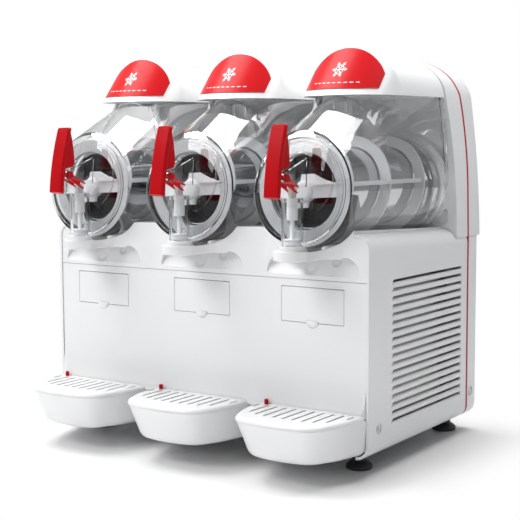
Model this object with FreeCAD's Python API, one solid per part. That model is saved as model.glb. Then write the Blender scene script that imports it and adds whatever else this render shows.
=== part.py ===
import FreeCAD, Part
import math
import os

# Three-bowl counter-top slush machine, free standing.
# Millimetres. X runs across the front, Y from the front of the case to its back, Z up.
# Every shape is drawn with Y = 0 on the flat front of the case and is moved once, when it is
# saved, so that the origin lies on the counter under the middle of the whole machine.

V = FreeCAD.Vector

# Overall sizes
bowl_pitch = 200.0
case_half_width = 294.0
case_depth = 375.0
tray_reach = 115.3
foot_height = 28.0
front_shift = tray_reach - (tray_reach + case_depth) / 2

# Walls and clearances
wall = 3.0
bead_width = 4.0
bead_proud = 1.5
clear_wall = 3.0
gap = 0.4
seam = 0.6
shaft_fit = 0.06
slide_fit = 0.3

# Heights of the case
deck_seam_z = 281.8
shoulder_front_z = 350.0
shoulder_back_z = 339.0
shoulder_radius = 22.0
sill_radius = 20.0
column_top_z = 355.0
column_top_back_z = 343.0
tower_seam_z = 326.3

# Drum and bowl
axis_z = 411.0
bowl_front_y = -35.0
bowl_front_radius = 76.0
bowl_front_lean = 0.09
bowl_radius = 83.0
bowl_top_half_width = 88.0
bowl_rim_z = 547.2
lens_radius = 56.0
lens_z = 428.0
web_half_width = 6.0
bowl_back_y = case_depth - 117.0
bowl_back_bend_z = 440.0
bowl_back_top_y = case_depth - 135.5
cradle_radius = 88.0
drum_radius = 59.0
drum_front_y = -10.0
boss_radius = 75.7
boss_face_y = case_depth - 125.0
seal_thickness = 4.3
flange_radius = 77.5
flange_length = 18.0
flange_groove_inner = 63.0
flange_groove_outer = 72.0
flange_groove_depth = 5.0
drum_edge_fillet = 4.0
recess_front_radius = 53.0
recess_back_radius = 47.0
recess_depth = 34.0
front_wall = 8.0
bearing_clear = 3.0
bearing_wall = 6.0
bearing_length = 22.0
shaft_radius = 8.0

# Spiral mixer
auger_radius = 77.2
auger_inner_radius = 61.0
auger_front_y = -24.0
auger_pitch = 110.0
auger_turns = 2.25
blade_thickness = 4.0
ring_radius = 74.0
ring_inner_radius = 56.0
ring_depth = 8.0
bar_width = 6.0
bar_radius = 73.0
bar_angle = 8.0
bar_back_y = case_depth - 183.0
hub_radius = 16.0
hub_length = 16.0
hub_proud = 3.0
hub_fillet = 6.0
arm_thickness = 5.0
arm_half = 10.5
arm_angle = 2.5
hump_half = 24.0
hump_outer_x = 16.0
hump_inner_x = 5.0
gusset_x = 45.0
ledge_height = 3.0
ledge_proud = 4.0

# Tap
tap_y = -53.0
tube_outer_radius = 15.5
tube_bore_radius = 12.5
tube_neck_height = 6.0
tube_foot_z = 334.6
tube_top_z = 402.0
piston_radius = 12.2
plug_height = 9.0
stem_radius = 3.2
guide_radius = 8.0
guide_foot_z = 371.0
guide_ring_z = 389.6
port_radius = 7.0
pivot_y = -87.0
pivot_z = 431.0
pivot_radius = 4.0
link_z = 415.0
link_pin_radius = 2.5
link_slot_half = 3.3
arm_foot_z = 416.0
arm_top_z = 459.0
arm_eye_radius = 8.6
arm_inner_x = 8.4
arm_outer_x = 12.0
handle_half_width = 12.0
handle_top_radius = 6.0
handle_foot_radius = 4.0
handle_web_half = 7.6
handle_boss_radius = 6.8
prong_width = 3.2
prong_half = 4.8
pin_head_radius = 5.6
handle_top_z = 504.0
handle_foot_z = 405.0

# Tongue under the tap
tongue_half_width = 27.0
tongue_foot_z = 314.0
tongue_top_z = 327.6
tongue_split_y = -54.0
tongue_flare = 33.0
collar_radius = 19.0
collar_top_z = 334.2
nozzle_radius = 12.0

# Lid
lid_foot_z = 547.5
lid_back_y = case_depth - 137.5
lid_front_radius = 77.0
lid_front_centre_y = 122.7
lid_lean = 0.83
hood_half_width = 76.0
lid_back_half_width = 92.0
lid_spring_z = 548.0
lid_rise = 62.8
hood_spring_z = 555.0
hood_rise = 70.5
hood_back_y = 114.0
neck_length = 16.0
neck_steps = 5
neck_half_width = 78.0
label_half_width = 62.0
label_foot_z = 557.0
label_side_z = 578.5
label_top_z = 619.3
label_thickness = 1.2

# Tower behind the bowls, drawn from the side as (Y, Z)
tower_top_z = 611.0
tower_spring_z = 547.0
tower_corner = 94.0
tower_front_line = ((case_depth - 88.0, tower_seam_z + seam), (case_depth - 93.0, 400.0),
                    (case_depth - 111.5, 486.0), (case_depth - 134.0, 547.0), (case_depth - 137.0, 620.0))
trim_line = ((case_depth - 48.0, tower_seam_z), (case_depth - 51.0, 399.0), (case_depth - 68.0, 502.0),
             (case_depth - 93.0, 567.0), (case_depth - 102.0, 620.0))
tower_back_line = ((case_depth, tower_seam_z + seam), (case_depth - 11.0, 430.0),
                   (case_depth - 39.0, 545.0),
                   (case_depth - 53.0, 588.0), (case_depth - 85.0, 620.0))
trim_width = 5.6
trim_depth = 5.0
back_corner_radius = 15.0

# Front doors and the keys behind them
door_half_width = 52.6
door_foot_z = 219.2
door_top_z = 270.2
front_thickness = 4.0
door_thickness = 3.0
door_gap = 0.7
door_pin_radius = 0.9
door_pin_length = 3.0
tab_half_width = 11.0
tab_lap = 3.0
tab_proud = 3.5

# Drip trays
tray_back_y = -1.5
tray_half_width = 91.5
tray_bend_x = 85.0
tray_bend_y = -62.0
tray_corner_x = 66.5
tray_corner_y = -106.0
tray_nose_rise = 4.7
tray_bend_radius = 150.0
tray_corner_radius = 36.0
tray_foot_z = 34.0
tray_seam_z = 87.5
tray_back_draw = 4.0
tray_bend_draw = 9.0
tray_corner_draw = 14.0
tray_front_draw = 18.0
tray_foot_fillet = 15.0
grid_back_y = -8.6
grid_top_z = 94.0
grid_fillet = 5.5
grid_lip_depth = 3.0
grid_slots = 11
grid_slot_pitch = 16.0
grid_slot_width = 4.0
grid_slot_back_y = -18.0
grid_slot_length = 63.0
grid_slot_spread = 82.0
float_x = -71.6
float_y = -13.5
float_radius = 3.0
float_top_z = 101.5
float_disc_radius = 9.0
float_disc_height = 7.0
guide_wall = 2.5
guide_height = 24.0
runner_x = 52.0
runner_width = 12.0
runner_height = 5.0
runner_foot_z = 62.0
runner_length = 72.0

# Louvres in the side panels
louvre_count = 18
louvre_first_z = 68.5
louvre_pitch = 12.06
louvre_front_y = 66.6
louvre_back_y = case_depth - 69.0
louvre_height = 7.4
louvre_lip = 3.4
louvre_slant = 5.0

# Feet, screws and the inside of the case
foot_radius = 20.0
foot_stem_radius = 11.0
foot_x = case_half_width - 45.0
foot_front_y = 52.3
foot_back_y = case_depth - 35.3
screw_recess_radius = 8.0
screw_recess_depth = 2.4
screw_front_y = 29.6
screw_back_y = case_depth - 30.7
screw_z = 69.2
base_z = 34.0
base_thickness = 2.0
frame_y = case_depth - 78.0
frame_thickness = 3.0
frame_top_z = 470.0
frame_half_width = case_half_width - 22.0

# Refrigeration in the case
compressor_x = -130.0
compressor_y = 180.0
can_radius = 62.0
can_height = 120.0
can_fillet = 24.0
pad_x = 62.0
pad_y = 28.0
pad_radius = 9.0
pad_height = 11.5
core_x = case_half_width - 56.0
core_depth = 26.0
core_front_y = 90.0
core_back_y = frame_y - 17.0
core_top_z = 270.0
shroud_depth = 16.0
fin_count = 14
fin_pitch = 16.0
fin_height = 7.0
fan_x = core_x - 33.0
fan_y = 185.0
fan_z = 150.0
fan_radius = 82.0
fan_hub_radius = 18.0
fan_hub_length = 14.0
fan_blade_count = 5
fan_blade_angle = 28.0
fan_motor_radius = 24.0
fan_motor_length = 22.0
spindle_radius = 4.0

bowls = (("left", -bowl_pitch), ("middle", 0.0), ("right", bowl_pitch))

os.makedirs("parts", exist_ok=True)


def save(name, shape):
    """Move a finished piece from the case frame to the machine's own frame and write it."""
    placed = shape.copy()
    placed.translate(V(0, front_shift, 0))
    placed.exportStep("parts/" + name + ".step")
    solids = len(placed.Solids)
    print(f"{name:18s} solids {solids:3d}  volume {placed.Volume / 1000:9.1f} cm3  valid {placed.isValid()}")


def point(plane, u, v, level):
    """A point from its two coordinates in a plane and that plane's level."""
    if plane == "XZ":
        return V(u, level, v)
    if plane == "YZ":
        return V(level, u, v)
    return V(u, v, level)


def normal(plane, length):
    """The vector that thickens a face of that plane."""
    if plane == "XZ":
        return V(0, length, 0)
    if plane == "YZ":
        return V(length, 0, 0)
    return V(0, 0, length)


def outline(plane, level, start, *steps):
    """A closed wire. A step is (end) for a straight run, or (middle, end) for an arc."""
    edges = []
    here = point(plane, start[0], start[1], level)
    first = here
    for step in steps:
        ends = [point(plane, p[0], p[1], level) for p in step]
        if len(ends) == 2:
            edges.append(Part.Arc(here, ends[0], ends[1]).toShape())
        else:
            edges.append(Part.makeLine(here, ends[0]))
        here = ends[-1]
    if here.distanceToPoint(first) > 1e-6:
        edges.append(Part.makeLine(here, first))
    return Part.Wire(edges)


def polygon(plane, level, *corners):
    """A closed wire of straight runs."""
    return outline(plane, level, corners[0], *[(c,) for c in corners[1:]])


def thick(wire, plane, length):
    """A solid from a wire, thickened along the plane's normal."""
    return Part.Face(wire).extrude(normal(plane, length))


def block(x0, x1, y0, y1, z0, z1):
    return Part.makeBox(x1 - x0, y1 - y0, z1 - z0, V(x0, y0, z0))


def rod(radius, length, base, direction):
    return Part.makeCylinder(radius, length, base, direction)


def tube(outer, inner, length, base, direction):
    return rod(outer, length, base, direction).cut(rod(inner, length, base, direction))


def rounded(corners, radii, plane, level):
    """A closed wire through corners, each rounded by its own radius."""
    count = len(corners)
    cuts = []
    for i, (corner, radius) in enumerate(zip(corners, radii)):
        before = corners[i - 1]
        after = corners[(i + 1) % count]
        to_before = (before[0] - corner[0], before[1] - corner[1])
        to_after = (after[0] - corner[0], after[1] - corner[1])
        len_before = math.hypot(*to_before)
        len_after = math.hypot(*to_after)
        u = (to_before[0] / len_before, to_before[1] / len_before)
        w = (to_after[0] / len_after, to_after[1] / len_after)
        half = math.acos(max(-1.0, min(1.0, u[0] * w[0] + u[1] * w[1]))) / 2
        if radius <= 0:
            cuts.append((corner, None, corner))
            continue
        run = radius / math.tan(half)
        bisector = (u[0] + w[0], u[1] + w[1])
        size = math.hypot(*bisector)
        reach = radius / math.sin(half) - radius
        middle = (corner[0] + bisector[0] / size * reach, corner[1] + bisector[1] / size * reach)
        enter = (corner[0] + u[0] * run, corner[1] + u[1] * run)
        leave = (corner[0] + w[0] * run, corner[1] + w[1] * run)
        cuts.append((enter, middle, leave))
    start = cuts[0][2]
    steps = []
    for enter, middle, leave in cuts[1:] + cuts[:1]:
        steps.append((enter,))
        if middle is not None:
            steps.append((middle, leave))
    return outline(plane, level, start, *steps)


def half_ellipse(x0, z0, half_width, rise, y):
    """The upper half of an ellipse in an XZ plane, from its right end to its left end."""
    if rise > half_width:
        curve = Part.Ellipse(V(0, 0, 0), rise, half_width)
        arc = curve.toShape(-math.pi / 2, math.pi / 2)
        arc.rotate(V(0, 0, 0), V(0, 0, 1), 90)
    elif rise < half_width:
        arc = Part.Ellipse(V(0, 0, 0), half_width, rise).toShape(0, math.pi)
    else:
        arc = Part.Circle(V(0, 0, 0), V(0, 0, 1), half_width).toShape(0, math.pi)
    arc.rotate(V(0, 0, 0), V(1, 0, 0), 90)
    arc.translate(V(x0, y, z0))
    return arc


def arch(x0, half_width, rise, spring_z, base_z_, y):
    """An arched outline: straight sides up to the spring line and a half ellipse over it."""
    right = Part.makeLine(V(x0 + half_width, y, base_z_), V(x0 + half_width, y, spring_z))
    left = Part.makeLine(V(x0 - half_width, y, spring_z), V(x0 - half_width, y, base_z_))
    bottom = Part.makeLine(V(x0 - half_width, y, base_z_), V(x0 + half_width, y, base_z_))
    return Part.Wire([right, half_ellipse(x0, spring_z, half_width, rise, y), left, bottom])


def side_band(front, back, x0, x1):
    """The space between two side-view lines, straight, arc, then straight, over a span of X."""
    f = front
    b = back
    wire = outline("YZ", x0, f[0], (f[1],), (f[2], f[3]), (f[4],), (b[4],), (b[3],), (b[2], b[1]), (b[0],))
    return thick(wire, "YZ", x1 - x0)


def shifted(line, dy):
    return tuple((p[0] + dy, p[1]) for p in line)


def tower_outline(inset, foot_z, y):
    """The tower seen from the front: upright sides, elliptical top corners and a flat top."""
    half = case_half_width - inset
    corner = tower_corner - inset
    rise = tower_top_z - tower_spring_z - inset
    flat = half - corner
    right_arc = Part.Ellipse(V(0, 0, 0), corner, rise).toShape(0, math.pi / 2)
    left_arc = Part.Ellipse(V(0, 0, 0), corner, rise).toShape(math.pi / 2, math.pi)
    for arc, x in ((right_arc, flat), (left_arc, -flat)):
        arc.rotate(V(0, 0, 0), V(1, 0, 0), 90)
        arc.translate(V(x, y, tower_spring_z))
    top_z = tower_spring_z + rise
    edges = [
        Part.makeLine(V(half, y, foot_z), V(half, y, tower_spring_z)),
        right_arc,
        Part.makeLine(V(flat, y, top_z), V(-flat, y, top_z)),
        left_arc,
        Part.makeLine(V(-half, y, tower_spring_z), V(-half, y, foot_z)),
        Part.makeLine(V(-half, y, foot_z), V(half, y, foot_z)),
    ]
    return Part.Wire(edges)


# Side panel: a C-shaped cover with a rounded shoulder, a rounded sill, a front bead and louvres

shoulder_inner_x = case_half_width - 24.0
sill_inner_x = case_half_width - 21.0


def side_section(inset, top_z, y):
    """The C-shaped outline of a right-hand side panel, its open side facing the middle."""
    x = case_half_width - inset
    r_top = shoulder_radius - inset
    r_foot = sill_radius - inset
    top = top_z - inset
    foot = foot_height + inset
    cut = math.sqrt(0.5)
    top_x = shoulder_inner_x - (1 if inset else 0)
    foot_x = shoulder_inner_x - 1 if inset else sill_inner_x
    return outline(
        "XZ", y, (foot_x, foot),
        ((x - r_foot, foot),),
        ((x - r_foot + r_foot * cut, foot + r_foot - r_foot * cut), (x, foot + r_foot)),
        ((x, top - r_top),),
        ((x - r_top + r_top * cut, top - r_top + r_top * cut), (x - r_top, top)),
        ((top_x, top),),
    )


def tower_front_at(z):
    """How far back the tower's front face is at a height between its first two points."""
    (y_low, z_low), (y_high, z_high) = tower_front_line[:2]
    return y_low + (y_high - y_low) * (z - z_low) / (z_high - z_low)


def side_panel():
    front_y = -bead_proud
    back_y = trim_line[0][0] - seam / 2
    tower_y = tower_front_at(shoulder_front_z) - seam
    outer = Part.makeLoft([side_section(0, shoulder_front_z, front_y),
                           side_section(0, shoulder_back_z, back_y)], True, True)
    inner = Part.makeLoft([side_section(wall, shoulder_front_z, front_y - 1),
                           side_section(wall, shoulder_back_z, back_y + 1)], True, True)
    panel = outer.cut(inner)
    bead_outer = thick(side_section(0, shoulder_front_z, front_y), "XZ", bead_proud + front_thickness)
    bead_inner = thick(side_section(bead_width, shoulder_front_z, front_y - 1), "XZ",
                       bead_proud + front_thickness + 2)
    panel = panel.fuse(bead_outer.cut(bead_inner).common(outer))
    panel = panel.cut(block(0, case_half_width + 1, tower_y, back_y + 1, tower_seam_z,
                            shoulder_front_z + 1))
    slots = []
    x_out = case_half_width + 0.1
    x_in = case_half_width - wall - 0.1
    for i in range(louvre_count):
        z = louvre_first_z + i * louvre_pitch
        section = polygon("XZ", louvre_front_y, (x_out, z), (x_out, z + louvre_height),
                          (x_in, z + louvre_height), (x_in, z + louvre_lip))
        slot = thick(section, "XZ", louvre_back_y - louvre_front_y)
        bevel = polygon("YZ", x_in - 1, (louvre_front_y - 1, z - 1), (louvre_front_y, z),
                        (louvre_front_y + louvre_slant, z + louvre_height), (louvre_front_y - 1,
                                                                             z + louvre_height))
        slots.append(slot.cut(thick(bevel, "YZ", wall + 2)))
    panel = panel.cut(Part.makeCompound(slots))
    recess = rod(screw_recess_radius, screw_recess_depth,
                 V(case_half_width - screw_recess_depth, screw_front_y, screw_z), V(1, 0, 0))
    boss = rod(screw_recess_radius + 2, wall + screw_recess_depth,
               V(case_half_width - wall - screw_recess_depth, screw_front_y, screw_z), V(1, 0, 0))
    hole = rod(2.2, 20, V(case_half_width - 15, screw_front_y, screw_z), V(1, 0, 0))
    panel = panel.fuse(boss).cut(recess).cut(hole)
    return panel.removeSplitter()


def mirrored(shape):
    return shape.mirror(V(0, 0, 0), V(1, 0, 0))


right_side = side_panel()
save("side_panel_right", right_side)
save("side_panel_left", mirrored(right_side))

# Front panel: flat, with three door openings and a foot that sweeps out towards the trays

front_inner_x = case_half_width - bead_width - seam
sweep_top_z = 150.0
sweep_foot_z = 96.0
sweep_reach = 8.0
skirt_back_y = 2.0
front_top_z = deck_seam_z - seam / 2


def door_opening(x0):
    """The opening of one door, with the blind holes for its hinge pins."""
    opening = block(x0 - door_half_width - door_gap, x0 + door_half_width + door_gap,
                    -1, front_thickness + 1, door_foot_z - door_gap, door_top_z + door_gap)
    pins = rod(door_pin_radius + shaft_fit, 2 * (door_half_width + door_pin_length + gap),
               V(x0 - door_half_width - door_pin_length - gap, hinge_y, hinge_z), V(1, 0, 0))
    return opening.fuse(pins)


hinge_y = door_thickness / 2
hinge_z = door_top_z - door_thickness / 2


def front_panel():
    lip_foot_z = tray_seam_z + 0.8
    inside = skirt_back_y + front_thickness
    profile = outline(
        "YZ", -front_inner_x, (0, front_top_z), ((0, sweep_top_z),),
        ((-sweep_reach * 0.22, sweep_top_z - (sweep_top_z - sweep_foot_z) * 0.55),
         (-sweep_reach, sweep_foot_z)),
        ((-sweep_reach, lip_foot_z),), ((skirt_back_y, lip_foot_z),), ((skirt_back_y, base_z + 6),),
        ((inside, base_z + 6),), ((inside, lip_foot_z + 4),), ((front_thickness, lip_foot_z + 10),),
        ((front_thickness, front_top_z),),
    )
    panel = thick(profile, "YZ", 2 * front_inner_x)
    x = front_inner_x
    plan = rounded([(-x, -sweep_reach), (x, -sweep_reach), (x, 20), (-x, 20)],
                   [sweep_reach - 1, sweep_reach - 1, 0, 0], "XY", 0)
    panel = panel.common(thick(plan, "XY", deck_seam_z + 10))
    sill_r = sill_radius - bead_width - seam
    face_foot = foot_height + bead_width + seam
    face = rounded([(-x, face_foot), (x, face_foot), (x, deck_seam_z), (-x, deck_seam_z)],
                   [sill_r, sill_r, 0, 0], "XZ", -sweep_reach - 1)
    panel = panel.common(thick(face, "XZ", 2 * sweep_reach + 20))
    for name, x0 in bowls:
        panel = panel.cut(door_opening(x0))
        for side in (-1, 1):
            x = x0 + side * runner_x
            half = runner_width / 2 + gap
            panel = panel.cut(block(x - half, x + half, 0, 10, runner_foot_z - gap,
                                    runner_foot_z + runner_height + gap))
    return panel


save("front_panel", front_panel())

# Doors: each drops from two pins at its upper corners and has a half-round finger tab


def door(x0):
    flat = block(x0 - door_half_width, x0 + door_half_width, 0, door_thickness, door_foot_z, hinge_z)
    knuckle = rod(door_thickness / 2, 2 * door_half_width, V(x0 - door_half_width, hinge_y, hinge_z),
                  V(1, 0, 0))
    pin_span = door_half_width + door_pin_length
    pins = rod(door_pin_radius, 2 * pin_span, V(x0 - pin_span, hinge_y, hinge_z), V(1, 0, 0))
    tab_radius = (tab_half_width ** 2 + tab_proud ** 2) / (2 * tab_proud)
    tab = Part.makeSphere(tab_radius, V(x0, tab_radius - tab_proud - gap, door_foot_z + tab_lap))
    tab = tab.common(block(x0 - 20, x0 + 20, -20, -gap, door_foot_z - 20, door_foot_z + tab_lap))
    root = block(x0 - tab_half_width + 2, x0 + tab_half_width - 2, -gap - 0.5, 1, door_foot_z,
                 door_foot_z + tab_lap)
    return flat.fuse([knuckle, pins, tab, root]).removeSplitter()


for name, x0 in bowls:
    save("door_" + name, door(x0))

# Deck panel: the upper front with its columns, the cradles under the bowls, the tongues
# that reach under the taps and a hollow under each tongue

scoop_half_width = 78.0
scoop_top_z = 316.5
scoop_foot_z = 285.0
scoop_depth = 17.0
scoop_corner = 24.0
deck_back_y = tower_front_line[0][0] - seam - 1.0
deck_inner_x = shoulder_inner_x - seam
notch_half_width = 15.5
notch_back_y = -37.0
rail_x = 30.0
rail_width = 5.0
rail_clear = 0.9
rail_pass = 1.5


def cradle(radius, y0, y1):
    cylinders = [rod(radius, y1 - y0, V(x0, y0, axis_z), V(0, 1, 0)) for name, x0 in bowls]
    return cylinders[0].fuse(cylinders[1:])


def scoop(x0, grow):
    """The hollow under a tongue: an arched outline, deepest at its top."""
    half = scoop_half_width + grow
    top = scoop_top_z + grow
    corners = [(x0 - half, scoop_foot_z), (x0 - half, top), (x0 + half, top), (x0 + half, scoop_foot_z)]
    face = rounded(corners, [0, scoop_corner + grow, scoop_corner + grow, 0], "XZ", -1)
    shape = thick(face, "XZ", scoop_depth + grow + 1)
    wedge = polygon("YZ", x0 - half - 1, (-2, scoop_foot_z - grow), (-2, top + 1),
                    (scoop_depth + grow, top + 1), (scoop_depth + grow, top))
    return shape.common(thick(wedge, "YZ", 2 * half + 2))


def deck_body(inset, y0, y1, foot_z):
    """The deck's outer form, or with an inset its hollow. Its shoulders fall towards the back."""
    shoulder = front_inner_x - inset
    high_top = column_top_z - inset
    r = shoulder_radius - bead_width - seam - inset
    drop_rate = (shoulder_front_z - shoulder_back_z) / (trim_line[0][0] - seam / 2 + bead_proud)
    sections = []
    for y in (y0, y1):
        top = shoulder_front_z - bead_width - seam - inset - drop_rate * (y + bead_proud)
        corners = [(-shoulder, foot_z), (-shoulder, top), (shoulder, top), (shoulder, foot_z)]
        sections.append(rounded(corners, [0, r, r, 0], "XZ", y))
    low = Part.makeLoft(sections, True, True)
    inner = deck_inner_x - inset
    high = block(-inner, inner, y0, y1, foot_z, high_top)
    slope = polygon("YZ", -shoulder - 1, (y0 - 1, foot_z - 1), (y1 + 1, foot_z - 1),
                    (y1 + 1, column_top_back_z - inset), (0, high_top), (y0 - 1, high_top))
    return low.fuse(high).common(thick(slope, "YZ", 2 * shoulder + 2))


def tongue(x0):
    w = tongue_half_width
    f = tongue_flare
    k = f * math.sqrt(0.5)
    wire = outline(
        "XY", tongue_foot_z, (x0 - w - f, wall), ((x0 - w - f, 0),),
        ((x0 - w - f + k, -f + k), (x0 - w, -f)), ((x0 - w, tongue_split_y + gap),),
        ((x0 + w, tongue_split_y + gap),), ((x0 + w, -f),),
        ((x0 + w + f - k, -f + k), (x0 + w + f, 0)), ((x0 + w + f, wall),),
    )
    slab = thick(wire, "XY", column_top_z - tongue_foot_z)
    front_cut = block(x0 - w - 1, x0 + w + 1, tongue_split_y - 1, -f, tongue_top_z, column_top_z + 1)
    notch = block(x0 - notch_half_width, x0 + notch_half_width, tongue_split_y - 1, notch_back_y,
                  tongue_foot_z - 1, tongue_top_z + 1)
    return slab.cut(front_cut).cut(notch)


def deck_panel():
    foot = deck_seam_z + seam / 2
    body = deck_body(0, 0, deck_back_y, foot)
    for name, x0 in bowls:
        body = body.fuse(tongue(x0))
    body = body.cut(cradle(cradle_radius, tongue_split_y - 1, deck_back_y + 1))
    hollow = deck_body(wall, wall, deck_back_y - wall,
                       foot - 1).cut(cradle(cradle_radius + wall, 0, deck_back_y + 1))
    for name, x0 in bowls:
        body = body.cut(scoop(x0, 0))
        hollow = hollow.cut(scoop(x0, wall))
    body = body.cut(hollow)
    for name, x0 in bowls:
        for side in (-1, 1):
            x = x0 + side * rail_x
            rail = block(x - rail_width / 2, x + rail_width / 2, -20, deck_back_y - 20,
                         axis_z - cradle_radius - 1, axis_z - 60)
            outer = rod(cradle_radius + 1, 400, V(x0, -30, axis_z), V(0, 1, 0))
            inner = rod(bowl_radius + rail_clear, 400, V(x0, -30, axis_z), V(0, 1, 0))
            body = body.fuse(rail.common(outer).cut(inner))
    return body.removeSplitter()


save("deck_panel", deck_panel())

# Nozzle cap: the round nose of the tongue and the collar round the nozzle. It goes with the bowl.


def nozzle_cap(x0):
    w = tongue_half_width
    nose_y = tap_y - w
    wire = outline("XY", tongue_foot_z, (x0 - w, tongue_split_y), ((x0, nose_y), (x0 + w, tongue_split_y)))
    nose = thick(wire, "XY", tongue_top_z - tongue_foot_z)
    nose = nose.makeFillet(2.0, [e for e in nose.Edges if abs(e.CenterOfMass.z - tongue_foot_z) < 0.01
                                 and e.CenterOfMass.y < tongue_split_y - 1])
    plug = block(x0 - notch_half_width + gap, x0 + notch_half_width - gap, tongue_split_y - 1,
                 notch_back_y - gap, tongue_foot_z, tongue_top_z)
    collar = rod(collar_radius, collar_top_z - tongue_top_z, V(x0, tap_y, tongue_top_z), V(0, 0, 1))
    bowl_foot_y = bowl_front_y - bowl_front_lean * bowl_front_radius
    keep = block(x0 - 40, x0 + 40, nose_y - 1, bowl_foot_y - seam, tongue_foot_z - 1, collar_top_z + 1)
    bore = rod(nozzle_radius, 40, V(x0, tap_y, tongue_foot_z - 5), V(0, 0, 1))
    return nose.fuse([plug, collar.common(keep)]).cut(bore).removeSplitter()


for name, x0 in bowls:
    save("nozzle_cap_" + name, nozzle_cap(x0))

# Tower: a front shell that carries the drums, a back shell and a red line between them

inner_front_line = shifted(tower_front_line, wall)
pocket_x = 278.0
pocket_foot_z = 348.0
pocket_top_z = 372.5
pocket_width = 26.0
pocket_top_width = 5.0
pocket_radius = 9.0
pocket_depth = 7.0
boss_back_y = tower_front_line[1][0] + 2.0
alcove_half_width = 76.0
alcove_foot_z = 440.0
alcove_top_z = 552.0
alcove_corner = 14.0
alcove_depth = 18.0
alcove_collar = 84.0


def lowered(line):
    """The same side-view line with its first point carried below the tower's foot."""
    return ((line[0][0], tower_seam_z - 5),) + line[1:]


def tower_solid(inset, front, back, foot_z):
    y0 = front[4][0] - 60
    body = thick(tower_outline(inset, foot_z, y0), "XZ", case_depth - y0 + 60)
    return body.common(side_band(front, back, -case_half_width - 1, case_half_width + 1))


def side_pocket():
    """The small three-sided recess beside an outer bowl, drawn on the right-hand side."""
    def form(grow, y0, depth):
        corners = [(pocket_x + grow, pocket_foot_z - grow), (pocket_x + grow, pocket_top_z + grow),
                   (pocket_x - grow - pocket_top_width, pocket_top_z + grow),
                   (pocket_x - pocket_width - grow, pocket_foot_z - grow)]
        wire = rounded(corners, [pocket_radius + grow, grow + 1, grow + 1, grow + 1], "XZ", y0)
        return thick(wire, "XZ", depth)
    backing = form(wall, tower_front_line[1][0] - 1, pocket_depth + wall + 4)
    return backing, form(0, tower_front_line[1][0] - 20, pocket_depth + 22)


def alcove(x0, grow):
    """The set-back wall behind a hopper: a niche whose foot follows the collar round the bowl's mouth."""
    half = alcove_half_width + grow
    corner = alcove_corner + grow
    corners = [(x0 + half, alcove_foot_z), (x0 + half, alcove_top_z + grow), (x0 - half, alcove_top_z + grow),
               (x0 - half, alcove_foot_z)]
    y0 = tower_front_line[4][0] - 20
    niche = thick(rounded(corners, [1, corner, corner, 1], "XZ", y0), "XZ", 200)
    band = side_band(shifted(tower_front_line, -2), shifted(tower_front_line, alcove_depth + grow),
                     x0 - half - 1, x0 + half + 1)
    return niche.common(band).cut(rod(alcove_collar - grow, 300, V(x0, y0 - 50, axis_z), V(0, 1, 0)))


def tower_front():
    trim_front = shifted(trim_line, -seam / 4)
    outer = tower_solid(0, tower_front_line, trim_front, tower_seam_z + seam / 2)
    inner_body = tower_solid(wall, lowered(inner_front_line), lowered(shifted(trim_line, 20)),
                             tower_seam_z - 5)
    shell = outer.cut(inner_body)
    backing, pocket = side_pocket()
    for solid in (backing, mirrored(backing)):
        shell = shell.fuse(solid.common(outer))
    shell = shell.cut(pocket).cut(mirrored(pocket))
    for name, x0 in bowls:
        shell = shell.fuse(alcove(x0, wall).common(outer)).cut(alcove(x0, 0))
    for name, x0 in bowls:
        boss = rod(boss_radius, boss_back_y - boss_face_y, V(x0, boss_face_y, axis_z), V(0, 1, 0))
        shell = shell.fuse(boss.cut(rod(boss_radius - 2 * wall, 60, V(x0, boss_face_y + wall, axis_z),
                                        V(0, 1, 0))))
        shell = shell.cut(rod(shaft_radius + 6, 80, V(x0, boss_face_y - 5, axis_z), V(0, 1, 0)))
    return shell


def tower_back():
    trim_back = shifted(trim_line, trim_width + seam / 4)
    b = tower_back_line
    wire = outline("YZ", -case_half_width - 1, trim_back[0], (trim_back[1],), (trim_back[2], trim_back[3]),
                   (trim_back[4],), (b[4],), (b[3],), (b[2],), (b[1], b[0]))
    band = thick(wire, "YZ", 2 * case_half_width + 2)
    y0 = trim_back[4][0] - 60
    outer = thick(tower_outline(0, tower_seam_z + seam / 2, y0), "XZ", case_depth - y0 + 60).common(band)
    hollow_front = lowered(shifted(trim_line, -30))
    c = lowered(shifted(tower_back_line, -wall))
    wire = outline("YZ", -case_half_width - 1, hollow_front[0], (hollow_front[1],),
                   (hollow_front[2], hollow_front[3]),
                   (hollow_front[4],), (c[4],), (c[3],), (c[2],), (c[1], c[0]))
    inner = thick(tower_outline(wall, tower_seam_z - 5, y0), "XZ", case_depth - y0 + 60)
    return outer.cut(inner.common(thick(wire, "YZ", 2 * case_half_width + 2)))


save("tower_front", tower_front())
save("tower_back", tower_back())


def red_trim():
    """A thin band that runs up one side of the case, over the tower and down the other side."""
    ring_outer = tower_outline(0, foot_height + sill_radius, 200)
    ring_inner = tower_outline(trim_depth, foot_height + sill_radius - 1, 200)
    ring = thick(ring_outer, "XZ", 200).cut(thick(ring_inner, "XZ", 200))
    t = trim_line
    b = shifted(trim_line, trim_width)
    low = foot_height
    wire = outline("YZ", -case_half_width - 1, (t[0][0], low), (t[0],), (t[1],), (t[2], t[3]), (t[4],),
                   (b[4],), (b[3],), (b[2], b[1]), (b[0],), ((b[0][0], low),))
    band = ring.common(thick(wire, "YZ", 2 * case_half_width + 2))
    sill_outer = thick(side_section(0, shoulder_front_z, t[0][0]), "XZ", trim_width)
    sill_inner = thick(side_section(trim_depth, shoulder_front_z, t[0][0] - 1), "XZ", trim_width + 2)
    corner = block(sill_inner_x + 1, case_half_width + 1, t[0][0], b[0][0], low,
                   foot_height + sill_radius + 1)
    curve = sill_outer.cut(sill_inner).common(corner)
    return band.fuse([curve, mirrored(curve)]).removeSplitter()


save("red_trim", red_trim())

# Rear panel: the lower back cover, with rounded back corners and a grille of slots

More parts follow.
